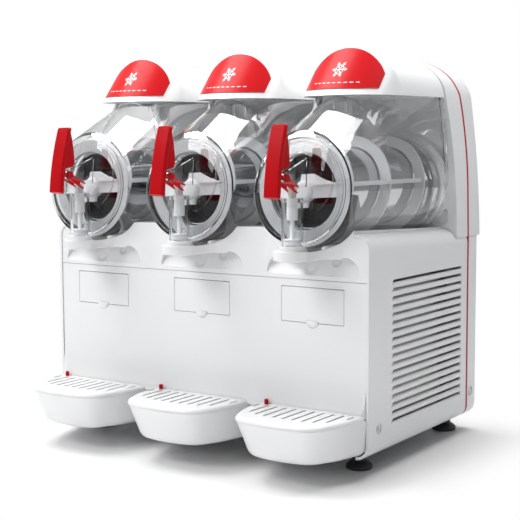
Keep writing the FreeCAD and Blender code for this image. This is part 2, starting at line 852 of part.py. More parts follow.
rear_front_y = trim_line[0][0] + trim_width + seam / 2


def rear_form(inset, y0):
    half = case_half_width - inset
    corners = [(-half, tower_seam_z - seam / 2 + (5 if inset else 0)), (-half, foot_height + inset),
               (half, foot_height + inset), (half, tower_seam_z - seam / 2 + (5 if inset else 0))]
    r = sill_radius - inset
    body = thick(rounded(corners, [0, r, r, 0], "XZ", y0), "XZ", case_depth - inset - y0)
    back = [e for e in body.Edges if abs(e.CenterOfMass.y - (case_depth - inset)) < 0.01
            and abs(e.CenterOfMass.z - corners[0][1]) > 0.01]
    return body.makeFillet(back_corner_radius - inset, back)


def rear_panel():
    shell = rear_form(0, rear_front_y).cut(rear_form(wall, rear_front_y - 20))
    slots = []
    for i in range(12):
        z = 90.0 + i * 16.0
        for x in (-165.0, 0.0, 165.0):
            slots.append(block(x - 65, x + 65, case_depth - wall - 2, case_depth + 1, z, z + 6))
    shell = shell.cut(Part.makeCompound(slots))
    for side in (-1, 1):
        base = V(side * (case_half_width - screw_recess_depth), screw_back_y, screw_z)
        inward = V(side * (case_half_width - wall - screw_recess_depth), screw_back_y, screw_z)
        boss = rod(screw_recess_radius + 2, wall + screw_recess_depth, inward, V(side, 0, 0))
        shell = shell.fuse(boss).cut(rod(screw_recess_radius, screw_recess_depth, base, V(side, 0, 0)))
        shell = shell.cut(rod(2.2, 20, V(side * (case_half_width - 15), screw_back_y, screw_z),
                              V(side, 0, 0)))
    for x in (-foot_x, foot_x):
        shell = shell.cut(rod(foot_stem_radius + 1, 10, V(x, foot_back_y, foot_height - 5), V(0, 0, 1)))
    cord_hole = rod(cord_hole_radius, 20, V(cord_x, case_depth - 10, cord_z), V(0, 1, 0))
    return shell.cut(cord_hole).removeSplitter()


cord_x = 64.0 - case_half_width
cord_z = 70.0
cord_hole_radius = 8.0
save("rear_panel", rear_panel())


def cable_inlet():
    """The flanged gland that the mains lead would pass through."""
    flange = rod(cord_hole_radius + 4, 2.0, V(cord_x, case_depth - wall - 2.0 - gap / 2, cord_z),
                 V(0, 1, 0))
    neck = rod(cord_hole_radius - gap / 2, wall + 1.0, V(cord_x, case_depth - wall - gap, cord_z),
               V(0, 1, 0))
    bore = rod(4.5, 30, V(cord_x, case_depth - 20, cord_z), V(0, 1, 0))
    body = flange.fuse(neck).cut(bore)
    return body.common(block(cord_x - 20, cord_x + 20, 0, case_depth, cord_z - 20, cord_z + 20))


save("cable_inlet", cable_inlet())

# Chassis: a folded base pan, an upright bulkhead for the drives and the rails for the trays

pan_front_y = 14.0
pan_back_y = case_depth - 2 * wall - 4.0


def chassis_base():
    pan = block(-frame_half_width, frame_half_width, pan_front_y, pan_back_y, base_z,
                base_z + base_thickness)
    lips = []
    for side in (-1, 1):
        x = side * (frame_half_width - base_thickness / 2)
        lips.append(block(x - base_thickness / 2, x + base_thickness / 2, pan_front_y, pan_back_y, base_z,
                          base_z + 22))
    lips.append(block(-frame_half_width, frame_half_width, pan_front_y, pan_front_y + base_thickness, base_z,
                      runner_foot_z - slide_fit))
    lips.append(block(-frame_half_width, frame_half_width, pan_front_y, pan_front_y + 70,
                      runner_foot_z - slide_fit - 2, runner_foot_z - slide_fit))
    lips.append(block(-frame_half_width, frame_half_width, frame_y, frame_y + frame_thickness, base_z,
                      frame_top_z))
    body = pan.fuse(lips)
    for name, x0 in bowls:
        body = body.cut(rod(shaft_radius + 6, 20, V(x0, frame_y - 8, axis_z), V(0, 1, 0)))
    vent = block(-frame_half_width + 40, frame_half_width - 40, frame_y - 5, frame_y + 10, base_z + 40,
                 tower_seam_z - 40)
    body = body.cut(vent)
    for x in (-foot_x, foot_x):
        for y in (foot_front_y, foot_back_y):
            body = body.cut(rod(foot_screw_radius + gap, 20, V(x, y, base_z - 5), V(0, 0, 1)))
    return body.removeSplitter()


foot_screw_radius = 4.0
save("chassis_base", chassis_base())


def feet():
    """Four black levelling feet: a moulded disc, a waisted stem and a screw with its nut."""
    profile = outline(
        "XZ", 0, (0, 0), ((foot_radius - 2, 0),), ((foot_radius, 2),), ((foot_radius, 6),),
        ((foot_radius - 3, 9),), ((foot_stem_radius, 13),), ((foot_stem_radius, base_z - 1.0),),
        ((foot_stem_radius + 2, base_z - 1.0),), ((foot_stem_radius + 2, base_z),),
        ((foot_screw_radius, base_z),), ((foot_screw_radius, base_z + 14),), ((0, base_z + 14),),
    )
    foot = Part.Face(profile).revolve(V(0, 0, 0), V(0, 0, 1), 360)
    made = []
    for x in (-foot_x, foot_x):
        for y in (foot_front_y, foot_back_y):
            one = foot.copy()
            one.translate(V(x, y, 0))
            made.append(one)
    return Part.makeCompound(made)


save("feet", feet())


def panel_screws():
    """The four screws in the round recesses of the side and rear panels."""
    made = []
    for side in (-1, 1):
        for y in (screw_front_y, screw_back_y):
            x = case_half_width - screw_recess_depth
            head = rod(4.2, 1.8, V(x, y, screw_z), V(1, 0, 0))
            drive = block(x + 0.9, x + 2, y - 0.5, y + 0.5, screw_z - 3, screw_z + 3)
            cross = block(x + 0.9, x + 2, y - 3, y + 3, screw_z - 0.5, screw_z + 0.5)
            shank = rod(2.0, 10, V(x - 10, y, screw_z), V(1, 0, 0))
            screw = head.cut(drive).cut(cross).fuse(shank)
            made.append(screw if side > 0 else mirrored(screw))
    return Part.makeCompound(made)


save("panel_screws", panel_screws())

# Control panel behind the doors, with flat keys

keys_per_bowl = 4


def control_panel():
    plate = block(-front_inner_x + 20, front_inner_x - 20, front_thickness + gap, front_thickness + 3,
                  door_foot_z - 12, door_top_z + 8)
    keys = []
    for name, x0 in bowls:
        for i in range(keys_per_bowl):
            x = x0 + (i - (keys_per_bowl - 1) / 2) * 24.0
            middle_z = (door_foot_z + door_top_z) / 2
            keys.append(rod(7.0, 1.0, V(x, front_thickness + gap - 0.6, middle_z), V(0, 1, 0)))
    return plate.fuse(keys).removeSplitter()


save("control_panel", control_panel())

# Drive: three geared motors on the bulkhead, each turning one mixer through a long shaft

gearbox_y = frame_y + frame_thickness + gap
gearbox_depth = 42.0
gearbox_half = 35.0


def gearmotors():
    made = []
    for name, x0 in bowls:
        box = block(x0 - gearbox_half, x0 + gearbox_half, gearbox_y, gearbox_y + gearbox_depth,
                    axis_z - 32, axis_z + gearbox_half)
        box = box.makeFillet(4.0, [e for e in box.Edges if abs(e.tangentAt(e.FirstParameter).y) > 0.9])
        hub = rod(shaft_radius + 5.5, 14, V(x0, gearbox_y - 10, axis_z), V(0, 1, 0))
        can = rod(20.0, 74, V(x0, gearbox_y + gearbox_depth / 2, axis_z - 106), V(0, 0, 1))
        bore = rod(shaft_radius + shaft_fit, 60, V(x0, gearbox_y - 20, axis_z), V(0, 1, 0))
        pilot = block(x0 - gearbox_half, x0 + gearbox_half, gearbox_y + 12, gearbox_y + gearbox_depth,
                      axis_z - 20, axis_z + 20)
        made.append(box.fuse([hub, can]).cut(bore.cut(pilot)))
    return Part.makeCompound(made)


save("gearmotors", gearmotors())

shaft_front_y = -20.0
shaft_back_y = gearbox_y + 11.0


def drive_shaft(x0):
    body = rod(shaft_radius, shaft_back_y - shaft_front_y, V(x0, shaft_front_y, axis_z), V(0, 1, 0))
    flat = block(x0 - 10, x0 + 10, shaft_front_y - 1, shaft_front_y + 12, axis_z + shaft_radius - 2,
                 axis_z + 10)
    return body.cut(flat)


def evaporator(x0):
    """The cold drum: a steel cylinder with a deep recess in its front, on a flange that seats on the boss."""
    length = boss_face_y - drum_front_y
    along = V(0, 1, 0)
    drum = rod(drum_radius, length - 1, V(x0, drum_front_y, axis_z), along)
    front_edges = [e for e in drum.Edges if abs(e.CenterOfMass.y - drum_front_y) < 0.01]
    drum = drum.makeFillet(drum_edge_fillet, front_edges)
    flange = rod(flange_radius, flange_length, V(x0, boss_face_y - flange_length, axis_z), along)
    groove = tube(flange_groove_outer, flange_groove_inner, flange_groove_depth + 1,
                  V(x0, boss_face_y - flange_length - 1, axis_z), along)
    recess = Part.makeCone(recess_front_radius, recess_back_radius, recess_depth,
                           V(x0, drum_front_y, axis_z), along)
    floor_y = drum_front_y + recess_depth
    hollow = rod(drum_radius - wall, length, V(x0, floor_y + front_wall, axis_z), along)
    nose_hole = rod(shaft_radius + bearing_clear, 2 * front_wall + 2, V(x0, floor_y - 1, axis_z), along)
    bearing = tube(shaft_radius + bearing_wall, shaft_radius + shaft_fit, bearing_length,
                   V(x0, floor_y, axis_z), along)
    return drum.fuse(flange).cut(groove).cut(recess).cut(hollow).cut(nose_hole).fuse(bearing)


def bowl_seals():
    rings = []
    for name, x0 in bowls:
        rings.append(tube(boss_radius + seal_thickness, boss_radius, 6.0, V(x0, boss_face_y + 1, axis_z),
                          V(0, 1, 0)))
    return Part.makeCompound(rings)


save("bowl_seals", bowl_seals())


def turned(shape, angle):
    """A copy turned about the Y axis."""
    copy = shape.copy()
    copy.rotate(V(0, 0, 0), V(0, 1, 0), angle)
    return copy


def auger():
    """White spiral mixer round the drum, drawn about the Y axis and moved to its bowl later."""
    mid = (auger_radius + auger_inner_radius) / 2
    half = (auger_radius - auger_inner_radius) / 2
    height = auger_pitch * auger_turns
    path = Part.makeHelix(auger_pitch, height, mid, 0, True)
    t = blade_thickness / 2
    section = Part.Wire([
        Part.makeLine(V(mid - half, 0, -t), V(mid + half, 0, -t)),
        Part.makeLine(V(mid + half, 0, -t), V(mid + half, 0, t)),
        Part.makeLine(V(mid + half, 0, t), V(mid - half, 0, t)),
        Part.makeLine(V(mid - half, 0, t), V(mid - half, 0, -t)),
    ])
    blade = Part.Wire(path.Edges).makePipeShell([section], True, True)
    blade.rotate(V(0, 0, 0), V(1, 0, 0), -90)
    blade.translate(V(0, auger_front_y + t + 1, 0))
    along = V(0, 1, 0)
    ring = tube(ring_radius, ring_inner_radius, ring_depth, V(0, auger_front_y, 0), along)
    bars = []
    for i in range(3):
        bar = block(bar_radius - bar_width / 2, bar_radius + bar_width / 2, auger_front_y + 2, bar_back_y,
                    -bar_width / 2, bar_width / 2)
        bar.rotate(V(0, 0, 0), along, -(bar_angle + 120.0 * i))
        bars.append(bar)
    hub_y = auger_front_y - hub_proud
    hub = rod(hub_radius, hub_length, V(0, hub_y, 0), along)
    hub = hub.makeFillet(hub_fillet, [e for e in hub.Edges if abs(e.CenterOfMass.y - hub_y) < 0.01])
    tip = ring_inner_radius + 2
    half = [(tip, -arm_half), (tip, arm_half), (gusset_x, arm_half), (hump_outer_x, hump_half),
            (-hump_inner_x, hump_half), (-hump_inner_x - 3, arm_half)]
    arm_y = auger_front_y + arm_thickness / 2
    arm = thick(polygon("XZ", arm_y, *half, *[(-x, -z) for x, z in half]), "XZ", arm_thickness)
    ledge = block(hump_outer_x, tip, arm_y - ledge_proud, arm_y + 1, arm_half - ledge_height, arm_half)
    ledges = [ledge, turned(ledge, 180)]
    spokes = [turned(part, -arm_angle) for part in [arm] + ledges]
    body = ring.fuse([hub] + spokes + bars).fuse(blade)
    bore = rod(shaft_radius + shaft_fit / 3, 40, V(0, shaft_front_y - 0.5, 0), along)
    return body.cut(bore)


mixer = auger()
for name, x0 in bowls:
    one = mixer.copy()
    one.translate(V(x0, 0, axis_z))
    save("auger_" + name, one)
    save("drive_shaft_" + name, drive_shaft(x0))
    save("evaporator_" + name, evaporator(x0))

# Clear bowl: a trough round the drum that opens out upwards into a filling hopper

bowl_stations = (
    (0.0, 76.0, 76.0, bowl_front_lean), (8.0, 81.0, 85.0, 0.06), (36.0, 82.5, 98.5, 0.02),
    (55.0, 82.6, 108.0, 0.0), (110.0, 83.0, 136.5, 0.0), (125.0, 83.2, 160.0, 0.0),
    (145.0, 83.5, 202.0, 0.0), (182.0, 84.5, 264.0, 0.0), (300.0, 88.0, 720.0, 0.0),
)


def leaned(shape, lean):
    """Lean a shape back about the crossways line through the bowl's front on its axis."""
    tilted = shape.copy()
    tilted.rotate(V(0, bowl_front_y, axis_z), V(1, 0, 0), -math.degrees(math.atan(lean)))
    return tilted


def bowl_form(inset):
    """Sections along the bowl: a half circle below, a half ellipse above, leaning back at the front."""
    wires = []
    for distance, half_width, rise, lean in bowl_stations:
        half = half_width - inset
        lower_radius = min(half_width, bowl_radius) - inset
        upper = half_ellipse(0, axis_z, half, rise - inset, bowl_front_y)
        lower = half_ellipse(0, 0, half, lower_radius, bowl_front_y)
        lower.rotate(V(0, bowl_front_y, 0), V(0, 1, 0), 180)
        lower.translate(V(0, 0, axis_z))
        section = leaned(Part.Wire([upper, lower]), lean)
        section.translate(V(0, distance + (inset if distance < 5 else 0), 0))
        wires.append(section)
    return Part.makeLoft(wires, True, True)


def back_cut(offset):
    """Everything in front of the bowl's leaning back face."""
    wire = polygon("YZ", -120, (-200, 200), (bowl_back_y - offset, 200),
                   (bowl_back_y - offset, bowl_back_bend_z),
                   (bowl_back_top_y - offset, bowl_rim_z), (bowl_back_top_y - offset,
                                                            bowl_rim_z + 50), (-200, bowl_rim_z + 50))
    return thick(wire, "YZ", 240)


def bowl_arm(side):
    x = arm_inner_x if side > 0 else -arm_outer_x
    width = arm_outer_x - arm_inner_x
    root_y = bowl_front_y + 8
    eye_edge = arm_eye_radius - 0.5
    shape = thick(polygon("YZ", x, (root_y, arm_foot_z), (root_y, arm_top_z),
                          (pivot_y + 3, pivot_z + eye_edge),
                          (pivot_y + 3, pivot_z - eye_edge)), "YZ", width)
    eye = rod(arm_eye_radius, width, V(x, pivot_y, pivot_z), V(1, 0, 0))
    hole = rod(pivot_radius + shaft_fit, width + 2, V(x - 1, pivot_y, pivot_z), V(1, 0, 0))
    return shape.fuse(eye).cut(hole)


def bowl():
    below_rim = block(-120, 120, -200, 400, 200, bowl_rim_z)
    outer = bowl_form(0).common(back_cut(0)).common(below_rim)
    inner = bowl_form(clear_wall).common(back_cut(clear_wall))
    shell = outer.cut(inner)
    mouth = rod(boss_radius + seal_thickness + slide_fit, 40, V(0, bowl_back_y - 20, axis_z), V(0, 1, 0))
    shell = shell.cut(mouth)
    half = bowl_top_half_width + 2.5
    flange_outer = outline("XZ", 200, (-half, 352), ((-half, bowl_rim_z - 3),), ((half, bowl_rim_z - 3),),
                           ((half, 352),))
    flange = thick(flange_outer, "XZ",
                   100).common(back_cut(0)).cut(back_cut(clear_wall)).cut(bowl_form(clear_wall))
    lower = rod(cradle_radius - gap, 100, V(0, 200, axis_z),
                V(0, 1, 0)).fuse(block(-half, half, 200, 300, axis_z, bowl_rim_z))
    for side in (-1, 1):
        half_gap = rail_width / 2 + rail_pass
        lower = lower.cut(block(side * rail_x - half_gap, side * rail_x + half_gap, 200, 300,
                                axis_z - cradle_radius, axis_z - bowl_radius * 0.88))
    shell = shell.fuse(flange.common(lower).cut(mouth))
    along = V(0, 1, 0)
    rim = tube(bowl_front_radius, bowl_front_radius - 4, 3, V(0, bowl_front_y - 1.5, axis_z), along)
    lens = tube(lens_radius, lens_radius - 2, 3, V(0, bowl_front_y - 1.2, lens_z), along)
    pipe = rod(tube_outer_radius, tube_top_z - tube_foot_z, V(0, tap_y, tube_foot_z), V(0, 0, 1))
    web = block(-web_half_width, web_half_width, tap_y, bowl_front_y + 10, tube_foot_z + 3, tube_top_z - 4)
    fittings = [leaned(rim, bowl_front_lean), leaned(lens, bowl_front_lean), web, bowl_arm(-1), bowl_arm(1)]
    shell = shell.fuse([part.cut(inner) for part in fittings] + [pipe])
    neck_z = tube_top_z - tube_neck_height
    bore = rod(tube_bore_radius, neck_z - tube_foot_z + 10, V(0, tap_y, tube_foot_z - 10), V(0, 0, 1))
    neck = rod(guide_radius + slide_fit, tube_neck_height + 2, V(0, tap_y, neck_z - 1), V(0, 0, 1))
    port = rod(port_radius, bowl_front_y + 8 - tap_y, V(0, tap_y, tube_foot_z + 11), V(0, 1, 0))
    return shell.cut(bore).cut(neck).cut(port).removeSplitter()


clear_bowl = bowl()
for name, x0 in bowls:
    one = clear_bowl.copy()
    one.translate(V(x0, 0, 0))
    save("bowl_" + name, one)

# Lid: an arched cover whose raised front hood leans back and carries the red label


def leaning_front(radius, back_half_width, inset):
    """The space behind a front face that is round in plan and leans back as it rises."""
    wires = []
    for z in (lid_foot_z - 5, hood_spring_z + hood_rise + 5):
        centre = lid_front_centre_y + (z - lid_foot_z) * lid_lean
        back = lid_back_y - inset
        far = max(back, centre + 5)
        wires.append(outline("XY", z, (radius, centre), ((0, centre - radius), (-radius, centre)),
                             ((-back_half_width, far),), ((back_half_width, far),)))
    return Part.makeLoft(wires, True, True)


def lid_form(inset):
    """The raised hood, the hollow curve behind it and the long arched body, all cut by the leaning front."""
    back = lid_back_y - inset
    foot = lid_foot_z
    hood = thick(arch(0, hood_half_width - inset, hood_rise - inset, hood_spring_z, foot, 20), "XZ",
                 hood_back_y - 20)
    sections = []
    for i in range(neck_steps + 1):
        t = i / neck_steps
        fall = (1 - t) ** 2
        half = neck_half_width + (hood_half_width - neck_half_width) * fall - inset
        rise = lid_rise + (hood_rise - lid_rise) * fall - inset
        spring = lid_spring_z + (hood_spring_z - lid_spring_z) * fall
        sections.append(arch(0, half, rise, spring, foot, hood_back_y + neck_length * t))
    sections.append(arch(0, lid_back_half_width - inset, lid_rise - inset, lid_spring_z, foot, back))
    neck = Part.makeLoft(sections, True, True)
    front = leaning_front(lid_front_radius - inset, lid_back_half_width + 6 - inset, inset)
    return hood.fuse(neck).common(front)


window_front_half = 55.0
window_back_half = 79.0
window_front_y = 98.0
window_back_y = case_depth - 146.5
lid_rim_depth = 2.5


def window_wire(z, grow):
    corners = [(-window_front_half - grow, window_front_y - grow),
               (window_front_half + grow, window_front_y - grow),
               (window_back_half + grow, window_back_y + grow), (-window_back_half - grow,
                                                                 window_back_y + grow)]
    return rounded(corners, [36 + grow, 36 + grow, 3 + grow, 3 + grow], "XY", z)


def lid():
    hollow = lid_form(wall).common(block(-120, 120, 0, 300, lid_foot_z + wall, 700))
    shell = lid_form(0).cut(hollow)
    rim_z = lid_foot_z - lid_rim_depth
    shell = shell.fuse(thick(window_wire(rim_z, 2), "XY", lid_rim_depth + 1))
    return shell.cut(thick(window_wire(rim_z - 1, 0), "XY", lid_rim_depth + wall + 2)).removeSplitter()


def lid_label():
    """A thin curved plate with upright lower sides and a top drawn as one arc."""
    w = label_half_width
    face = outline("XZ", 0, (-w, label_foot_z), ((w, label_foot_z),), ((w, label_side_z),),
                   ((0, label_top_z), (-w, label_side_z)))
    window = thick(face, "XZ", hood_back_y + 10)
    outer = leaning_front(lid_front_radius + label_thickness, lid_back_half_width + 20, 0)
    inner = leaning_front(lid_front_radius, lid_back_half_width + 20 - label_thickness, 0)
    return window.common(outer).cut(inner)


top_cover = lid()
badge = lid_label()
for name, x0 in bowls:
    one = top_cover.copy()
    one.translate(V(x0, 0, 0))
    save("lid_" + name, one)
    one = badge.copy()
    one.translate(V(x0, 0, 0))
    save("lid_label_" + name, one)

# Tap: red lever, its pin, and the white piston that the lever's forked tail lifts


def tap_handle():
    """A tall bowed blade with a deep web behind it, a boss on the pivot and a forked tail."""
    y = pivot_y
    middle_z = (handle_top_z + handle_foot_z) / 2
    plate_wire = outline(
        "YZ", -handle_half_width, (y, handle_top_z), ((y - 14.5, middle_z), (y - 22, handle_foot_z)),
        ((y - 12.5, handle_foot_z - 3),), ((y - 5.5, middle_z), (y + 8.5, handle_top_z + 0.5)),
    )
    plate = thick(plate_wire, "YZ", 2 * handle_half_width)
    plate = plate.makeFillet(2.5, [e for e in plate.Edges if e.Length > handle_half_width * 3])
    w = handle_half_width
    low = handle_foot_z - 3
    high = handle_top_z + 0.5
    front_view = rounded([(-w, low), (-w, high), (w, high), (w, low)],
                         [handle_foot_radius, handle_top_radius, handle_top_radius,
                          handle_foot_radius], "XZ", y - 30)
    plate = plate.common(thick(front_view, "XZ", 60))
    web_foot_z = pivot_z + 18
    web_wire = outline(
        "YZ", -handle_web_half, (y - 2, handle_top_z - 5), ((y + 7, handle_top_z - 2),),
        ((y + 13.6, (handle_top_z + web_foot_z) / 2), (y + 15.5, web_foot_z)), ((y + 13, web_foot_z - 5),),
        ((y - 3, pivot_z + 10),), ((y - 10, pivot_z + 6),), ((y - 12, handle_foot_z + 6),),
        ((y - 16, handle_foot_z + 3),),
    )
    web = thick(web_wire, "YZ", 2 * handle_web_half)
    boss = rod(handle_boss_radius, 2 * handle_web_half, V(-handle_web_half, pivot_y, pivot_z), V(1, 0, 0))
    strap = block(-handle_web_half, handle_web_half, y - 15, y, pivot_z - prong_half, pivot_z + prong_half)
    run = tap_y - pivot_y
    drop = pivot_z - link_z
    angle = -math.degrees(math.atan2(drop, run))
    reach = math.hypot(run, drop)
    slot_start = run - link_pin_radius - slide_fit
    prongs = []
    for x in (-handle_web_half, handle_web_half - prong_width):
        prong = block(x, x + prong_width, 0, reach + 5, -prong_half, prong_half)
        slot = block(x - 1, x + prong_width + 1, slot_start, reach + 6, -link_slot_half, link_slot_half)
        prong = prong.cut(slot)
        prong.rotate(V(0, 0, 0), V(1, 0, 0), angle)
        prong.translate(V(0, pivot_y, pivot_z))
        prongs.append(prong)
    body = plate.fuse([web, boss, strap] + prongs)
    inside = handle_web_half - prong_width
    clear = block(-inside, inside, pivot_y + 12, tap_y + 12, handle_foot_z - 10, web_foot_z - 8)
    bore = rod(pivot_radius + 0.02, 40, V(-20, pivot_y, pivot_z), V(1, 0, 0))
    return body.cut(clear).cut(bore)


def tap_pin():
    body = rod(pivot_radius, 2 * arm_outer_x + 0.8, V(-arm_outer_x - 0.4, pivot_y, pivot_z), V(1, 0, 0))
    head = rod(pin_head_radius, 2.2, V(arm_outer_x + gap, pivot_y, pivot_z), V(1, 0, 0))
    return body.fuse(head).removeSplitter()


def tap_piston():
    """A plug that shuts the foot of the tube, a thin stem, and a guide that the lever's tail lifts."""
    up = V(0, 0, 1)
    foot = tube_foot_z + 1.0
    plug = rod(piston_radius, plug_height, V(0, tap_y, foot), up)
    plug = plug.makeFillet(2.0, [e for e in plug.Edges if abs(e.CenterOfMass.z - foot) < 0.01])
    groove = tube(piston_radius + 1, piston_radius - 1.2, 2.4, V(0, tap_y, foot + plug_height / 2), up)
    stem = rod(stem_radius, guide_foot_z - foot, V(0, tap_y, foot + 1), up)
    guide = rod(guide_radius, tube_top_z - guide_foot_z, V(0, tap_y, guide_foot_z), up)
    for z in (guide_ring_z, guide_ring_z + 3):
        guide = guide.cut(tube(guide_radius + 1, guide_radius - 0.8, 1.4, V(0, tap_y, z), up))
    tenon = block(-3, 3, tap_y - 6, tap_y + 6, tube_top_z - 1, link_z + 6)
    half = handle_web_half - 0.2
    pin = rod(link_pin_radius, 2 * half, V(-half, tap_y, link_z), V(1, 0, 0))
    return plug.cut(groove).fuse([stem, guide, tenon, pin])


for maker, title in ((tap_handle, "tap_handle"), (tap_pin, "tap_pin"), (tap_piston, "tap_piston")):
    shape = maker()
    for name, x0 in bowls:
        one = shape.copy()
        one.translate(V(x0, 0, 0))
        save(title + "_" + name, one)

# Drip tray, its slotted cover and the red float that shows when the tray is full


def tray_wire(z, back_y, inset=0.0, draw=0.0):
    """Outline of the tray in plan, set in by a wall and drawn in (0 to 1) as it narrows to its foot."""
    bend_x = tray_bend_x - inset - draw * tray_bend_draw
    bend_y = tray_bend_y + inset + draw * tray_front_draw
    corner_x = tray_corner_x - inset - draw * tray_corner_draw
    corner_y = tray_corner_y + inset + draw * tray_front_draw
    nose_y = -tray_reach - tray_nose_rise + inset + draw * tray_front_draw
    back_x = tray_half_width - inset - draw * tray_back_draw
    slope = math.atan2(corner_y - nose_y, corner_x)
    lean = math.atan2(corner_y - bend_y, bend_x - corner_x)
    corner_run = tray_corner_radius * math.tan(abs(slope + lean) / 2)
    front_run = math.hypot(corner_x, corner_y - nose_y) - corner_run - 0.5
    bow_radius = front_run / math.tan(slope)
    corners = [(back_x, back_y), (-back_x, back_y), (-bend_x, bend_y), (-corner_x, corner_y),
               (0, nose_y), (corner_x, corner_y), (bend_x, bend_y)]
    r = tray_corner_radius
    b = tray_bend_radius
    return rounded(corners, [0, 0, b, r, bow_radius, r, b], "XY", z)


def tray():
    top_z = tray_seam_z - slide_fit
    rim_inset = 2 * slide_fit
    outer = Part.makeLoft([tray_wire(tray_foot_z, tray_back_y, 0, 1),
                           tray_wire(top_z, tray_back_y, rim_inset)], True, True)
    foot_edges = [e for e in outer.Edges if e.BoundBox.ZMax < tray_foot_z + 0.01
                  and e.CenterOfMass.y < tray_back_y - 3]
    outer = outer.makeFillet(tray_foot_fillet, foot_edges)
    floor_z = tray_foot_z + wall
    inside_y = tray_back_y - wall
    inner = Part.makeLoft([tray_wire(floor_z, inside_y, wall, 1),
                           tray_wire(top_z + 1, inside_y, wall + rim_inset)], True, True)
    inner_edges = [e for e in inner.Edges if e.BoundBox.ZMax < floor_z + 0.01
                   and e.CenterOfMass.y < inside_y - 3]
    inner = inner.makeFillet(tray_foot_fillet - wall, inner_edges)
    body = outer.cut(inner)
    guide = tube(float_radius + slide_fit + guide_wall, float_radius + slide_fit, guide_height,
                 V(float_x, float_y, floor_z - 0.5), V(0, 0, 1))
    runners = []
    for side in (-1, 1):
        x = side * runner_x
        runners.append(block(x - runner_width / 2, x + runner_width / 2, tray_back_y - 1, runner_length,
                             runner_foot_z, runner_foot_z + runner_height))
    return body.fuse([guide] + runners)


def grid_slot(x):
    """One slot with round ends; the outer ones are shorter, as the front corners draw in."""
    reach = grid_slot_length * math.sqrt(1 - (abs(x) / grid_slot_spread) ** 4)
    r = grid_slot_width / 2
    front_y = grid_slot_back_y - reach
    low_z = tray_seam_z - 5
    high = grid_top_z + 6 - tray_seam_z
    bar = block(x - r, x + r, front_y + r, grid_slot_back_y - r, low_z, low_z + high)
    ends = [rod(r, high, V(x, front_y + r, low_z), V(0, 0, 1)),
            rod(r, high, V(x, grid_slot_back_y - r, low_z), V(0, 0, 1))]
    return bar.fuse(ends)


def tray_grid():
    cover = thick(tray_wire(tray_seam_z, grid_back_y), "XY", grid_top_z - tray_seam_z)
    top_edges = [e for e in cover.Edges if abs(e.CenterOfMass.z - grid_top_z) < 0.01
                 and e.CenterOfMass.y < grid_back_y - 3]
    cover = cover.makeFillet(grid_fillet, top_edges)
    draw_rate = tray_front_draw / (tray_seam_z - tray_foot_z)
    lip_inset = wall + 3 * slide_fit + (grid_lip_depth + 1) * draw_rate
    rim = lip_inset + 1
    hollow = thick(tray_wire(tray_seam_z - 1, grid_back_y - rim, rim), "XY", grid_top_z - tray_seam_z - 1.4)
    cover = cover.cut(hollow)
    lip_z = tray_seam_z - grid_lip_depth
    lip = thick(tray_wire(lip_z, grid_back_y - lip_inset, lip_inset), "XY", grid_lip_depth + 1)
    lip = lip.cut(thick(tray_wire(lip_z - 1, grid_back_y - rim - 1, rim + 1), "XY", grid_lip_depth + 5))
    cover = cover.fuse(lip)
    for i in range(grid_slots):
        cover = cover.cut(grid_slot((i - (grid_slots - 1) / 2) * grid_slot_pitch))
    hole = rod(float_radius + slide_fit, 20, V(float_x, float_y, tray_seam_z - 5), V(0, 0, 1))
    return cover.cut(hole)


def tray_float():
    stem_z = tray_foot_z + wall + 1.0
    stem = rod(float_radius, float_top_z - stem_z, V(float_x, float_y, stem_z), V(0, 0, 1))
    disc_z = tray_foot_z + wall + guide_height - 0.5 + slide_fit
    disc = rod(float_disc_radius, float_disc_height, V(float_x, float_y, disc_z), V(0, 0, 1))
    body = stem.fuse(disc)
    return body.makeFillet(0.8, [e for e in body.Edges if abs(e.CenterOfMass.z - float_top_z) < 0.01])


for maker, title in ((tray, "tray"), (tray_grid, "tray_grid"), (tray_float, "tray_float")):
    shape = maker()
    for name, x0 in bowls:
        one = shape.copy()
        one.translate(V(x0, 0, 0))
        save(title + "_" + name, one)

# Refrigeration: a sealed compressor, a finned condenser with its fan housing, and the fan


def compressor():
    """The sealed can on its foot plate and four rubber pads, with the terminal box on its side."""
    floor_z = base_z + base_thickness
    up = V(0, 0, 1)
    can_z = floor_z + pad_height + 2.5
    can = rod(can_radius, can_height, V(compressor_x, compressor_y, can_z), up)
    can = can.makeFillet(can_fillet, [e for e in can.Edges if e.CenterOfMass.distanceToPoint(
        V(compressor_x, compressor_y, e.CenterOfMass.z)) < 1 and e.Length > can_height])
    plate = block(compressor_x - pad_x - 13, compressor_x + pad_x + 13, compressor_y - pad_y - 12,
                  compressor_y + pad_y + 12, floor_z + pad_height - 0.5, can_z + 1)
    pads = []
    for dx in (-pad_x, pad_x):
        for dy in (-pad_y, pad_y):
            pads.append(rod(pad_radius, pad_height, V(compressor_x + dx, compressor_y + dy, floor_z), up))
    box = block(compressor_x + can_radius - 12, compressor_x + can_radius + 16, compressor_y - 24,
                compressor_y + 24, can_z + 36, can_z + 86)
    return can.fuse([plate, box] + pads)


